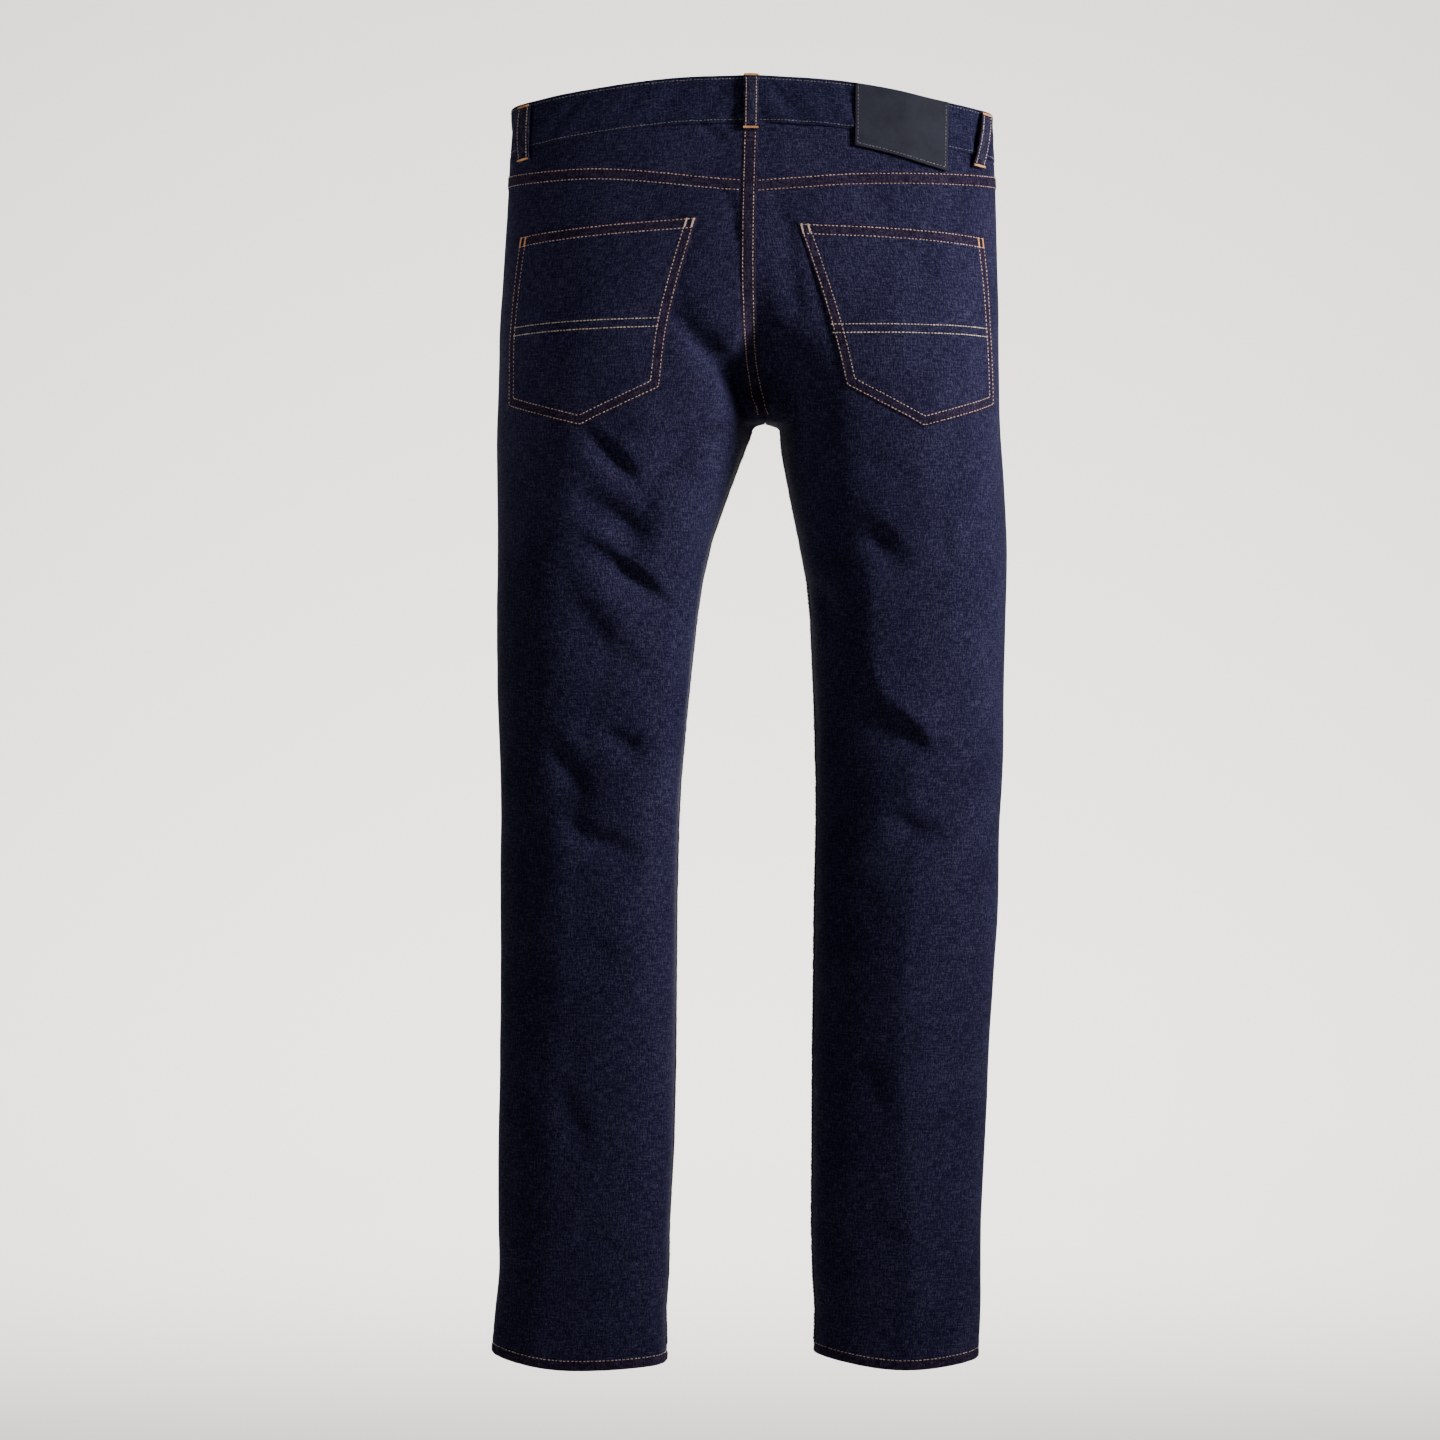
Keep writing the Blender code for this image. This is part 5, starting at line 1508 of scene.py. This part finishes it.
def patch(skin, sewing):
    """The leather patch, which hangs lower towards the side seam."""
    wide = PATCH_ARC[1] - PATCH_ARC[0]
    steps = (0.0, 0.3, 0.8, 1.6, 2.8)
    rows, arc = np.meshgrid(graded(PATCH_LONG, 3.0, steps) / PATCH_LONG,
                            PATCH_ARC[0] + graded(wide, 3.0, steps), indexing="ij")

    def spot(row, place, out):
        hang = BAND_HEIGHT + PATCH_HANG - 1.0 + PATCH_SLANT * (place - PATCH_ARC[0]) / wide
        z = waist_z("right", skin.u_back(WAIST_LEVEL, place)) - 0.6 - hang * row
        u = skin.u_back(z, place)
        wave = 0.35 * noise(place / 26, z / 22, 91)
        free = np.clip((row - 0.8) / 0.2, 0, 1) * 0.5
        return skin.at(z, u, out + wave + free), skin.normal(z, u)

    clear = SEAM_GAP + 0.3 + BAND_LIFT
    outer = spot(rows, arc, clear + PATCH_THICK - rim_depth(arc.shape, 0.5))[0]
    inner = spot(rows, arc, clear)[0]
    uv = np.stack((arc, rows * PATCH_LONG), axis=-1)
    cloth_piece("patch_cloth", "patch", outer, inner, (LEATHER, LEATHER), uv,
                True)
    low, high = PATCH_ARC[0] + 2.4, PATCH_ARC[1] - 2.4
    t = np.linspace(0, 1, 40)
    path = ((0.045, low), (0.955, low), (0.955, high), (0.045, high))
    for (a, b), (c, d) in zip(path, path[1:]):
        line = spot(a + (c - a) * t, b + (d - b) * t, clear + PATCH_THICK)
        sewing["slate"].row(*line, 3.0, 2.5, 0.32)


def fly_shield(skins):
    """The cloth behind the closed fly, narrower towards its lower end."""
    rows = np.linspace(0, 1, 40)
    cols = np.linspace(-0.35, 0.65, 15)
    depth = DENIM + PROUD_GAP
    outer = np.zeros((len(rows), len(cols), 3))
    inner = np.zeros_like(outer)
    for r, row in enumerate(rows):
        for c, col in enumerate(cols):
            side = "left" if col > 0 else "right"
            skin = skins[side]
            top = float(band_low(side, 0.0)) - 1.0
            z = top + (FLY_BOTTOM - top) * row
            u = float(skin.u_front(z, abs(col) * FLY_WIDE * (1 - 0.45 * row ** 3)))
            outer[r, c] = skin.at(z, u, -depth)
            inner[r, c] = skin.at(z, u, -depth - POCKET_THICK)
    uv = np.stack(np.broadcast_arrays(cols[None, :] * FLY_WIDE + 90, rows[:, None] * 150), axis=-1)
    cloth_piece("fly_shield_cloth", "fly_shield", outer, inner, (DENIM_LOOK, REVERSE_LOOK), uv,
                True)


def button(skins):
    """A domed shank button with a rim and two plain rings."""
    skin = skins["left"]
    u = float(skin.u_front(0.0, BUTTON_ARC))
    z = float(waist_z("left", u)) - BAND_HEIGHT / 2
    seat = skin.at(z, u, SEAM_GAP + BAND_LIFT)
    normal = skin.normal(z, u)
    profile = (
        (3.4, -0.3), (3.4, 1.2), (7.6, 1.35), (8.2, 1.6), (8.5, 2.1), (8.45, 2.6), (8.1, 2.95),
        (7.6, 3.05), (7.2, 2.95), (6.9, 2.7), (6.5, 2.72), (5.6, 3.05), (5.2, 3.0), (4.9, 3.1),
        (4.0, 3.4), (2.8, 3.62), (2.4, 3.55), (2.1, 3.66), (1.1, 3.78), (0.35, 3.8))
    sides = 48
    angle = 2 * math.pi * np.arange(sides) / sides
    vertices = np.array([(r * math.cos(a), r * math.sin(a), h) for r, h in profile for a in angle])
    faces = []
    for k in range(0, (len(profile) - 1) * sides, sides):
        for i in range(sides):
            after = (i + 1) % sides
            faces.append((k + i, k + after, k + sides + after, k + sides + i))
    faces.append(tuple(range(sides))[::-1])
    faces.append(tuple(range((len(profile) - 1) * sides, len(profile) * sides)))
    turn = np.array(Vector(normal).to_track_quat("Z", "Y").to_matrix())
    piece = finish_mesh("waist_button_metal", vertices @ turn.T + seat, faces, (METAL,), sharp=40)
    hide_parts("waist_button")


def buttonhole(skins, sewing):
    """A thread-bound eyelet hole beside the button, on the waistband's left end."""
    skin = skins["left"]
    z0 = float(waist_z("left", 0.02)) - BAND_HEIGHT / 2
    for k in range(40):
        t = 2 * math.pi * k / 40
        arc = BUTTON_ARC + 1.0 + 10.5 * math.cos(t) * (1.0 if math.cos(t) > 0 else 0.9)
        drop = 1.7 * math.sin(t) * (1.5 if math.cos(t) < -0.4 else 1.0)
        if arc < 1.5:
            continue
        u = float(skin.u_front(0.0, arc))
        middle = skin.at(z0 + drop, u, BAND_LIFT + 0.1)
        out = skin.normal(z0 + drop, u)
        across = unit(skin.at(z0 + drop + 1, u, 0) - skin.at(z0 + drop, u, 0))
        sewing["tonal"].stitches(middle, across, out, 2.4, 0.34)


def build():
    skins = {side: Skin(side) for side in ("left", "right")}
    sewing = {
        "copper": Sewing("stitching_copper", COPPER),
        "mixed": Sewing("stitching_yoke_right", PALE_COPPER),
        "pale": Sewing("stitching_pale", PALE),
        "bright": Sewing("bartacks", BRIGHT),
        "tonal": Sewing("stitching_waistband", TONAL),
        "slate": Sewing("stitching_patch", TONAL),
    }
    for skin in skins.values():
        back_panel(skin)
        front_panel(skin)
        yoke(skin)
        pocket_facing(skin)
        back_pocket(skin, sewing)
    waistband(skins, sewing)
    fly_shield(skins)
    for loop in LOOPS:
        belt_loop(skins, loop, sewing)
    patch(skins["right"], sewing)
    button(skins)
    buttonhole(skins, sewing)
    build_seams(skins, sewing)
    sew_panels(skins, sewing)
    for group in sewing.values():
        group.make()


# ---- camera, floor and light ----
# Lengths from here on are in metres.
CAMERA_FAR = 3.5
CAMERA_X = 0.0275
CAMERA_Z = -0.5022
CAMERA_LENS = 101.8
FLOOR_Z = -1.45
WALL_FAR = 6.8
WALL_CURVE = 2.2
WALL_TOP = 3.4
LIGHTS = records(
    "name place target size power colour spread",
    ("key", (-2.35, 1.06, 0.38), (0, 0, -0.2), (0.7, 0.9), 13.7, (1.0, 0.945, 0.925), 50),
    ("fill", (2.6, 1.0, 0.3), (0.24, 0, -0.12), (0.3, 0.3), 0.15, (1.0, 0.96, 0.94), 12),
    ("front", (-0.4, -3.2, 0.7), (0, 0, -0.5), (0.8, 1.2), 26, (1.0, 0.98, 0.96), 60),
)
# The lights on the wall: the way they point, in degrees, and their power.
BACKDROP_LIGHTS = ((-90, 520), (0, 36), (90, 16), (180, 36))


def stage():
    """A plain pale floor that curves up all round into a pale wall, outside every camera place."""
    profile = [(WALL_FAR - WALL_CURVE, FLOOR_Z)]
    for k in range(1, 13):
        angle = math.pi / 2 * k / 12
        profile.append((WALL_FAR - WALL_CURVE * (1 - math.sin(angle)),
                        FLOOR_Z + WALL_CURVE * (1 - math.cos(angle))))
    profile.append((WALL_FAR, WALL_TOP))
    sides = 96
    rows = len(profile)
    vertices = []
    for k in range(sides):
        angle = 2 * math.pi * k / sides
        vertices += [(r * math.cos(angle), r * math.sin(angle), z) for r, z in profile]
    vertices.append((0.0, 0.0, FLOOR_Z))
    faces = []
    for k in range(sides):
        a = k * rows
        b = (k + 1) % sides * rows
        faces.append((len(vertices) - 1, a, b))
        faces += [(a + r, a + r + 1, b + r + 1, b + r) for r in range(rows - 1)]
    mesh = bpy.data.meshes.new("studio_floor")
    mesh.from_pydata(vertices, [], faces)
    mesh.shade_smooth()
    material, tree, shader = nodes_of("studio_floor")
    shader.inputs["Base Color"].default_value = (0.66, 0.648, 0.632, 1.0)
    shader.inputs["Roughness"].default_value = 0.95
    mesh.materials.append(material)
    floor = bpy.data.objects.new("studio_floor", mesh)
    bpy.context.scene.collection.objects.link(floor)


def area_light(name, place, target, size, power, colour, spread):
    """A lamp that points at its target; spread is in degrees."""
    data = bpy.data.lights.new(name, "AREA")
    data.shape = "RECTANGLE"
    data.size, data.size_y = size
    data.energy = power
    data.color = colour
    data.spread = math.radians(spread)
    lamp = bpy.data.objects.new(name, data)
    lamp.location = place
    lamp.rotation_euler = (Vector(target) - Vector(place)).to_track_quat("-Z", "Y").to_euler()
    lamp.visible_camera = False
    bpy.context.scene.collection.objects.link(lamp)


def light_and_camera():
    world = bpy.data.worlds.new("studio")
    world.use_nodes = True
    world.node_tree.nodes["Background"].inputs["Color"].default_value = (0.92, 0.94, 1.0, 1.0)
    world.node_tree.nodes["Background"].inputs["Strength"].default_value = 0.05
    bpy.context.scene.world = world
    for light in LIGHTS:
        area_light(**light)
    for turn, power in BACKDROP_LIGHTS:
        x, y = math.cos(math.radians(turn)), math.sin(math.radians(turn))
        area_light("backdrop", (2.2 * x, 2.2 * y, 2.9), (5.5 * x, 5.5 * y, -1.35), (3.4, 0.8),
                   power, (1.0, 0.98, 0.965), 112)
    data = bpy.data.cameras.new("camera")
    data.sensor_width = 36
    data.lens = CAMERA_LENS
    data.clip_end = 60
    camera = bpy.data.objects.new("camera", data)
    camera.location = (CAMERA_X, CAMERA_FAR, CAMERA_Z)
    camera.rotation_euler = (math.radians(90), 0, math.radians(180))
    bpy.context.scene.collection.objects.link(camera)
    bpy.context.scene.camera = camera


build()
stage()
light_and_camera()
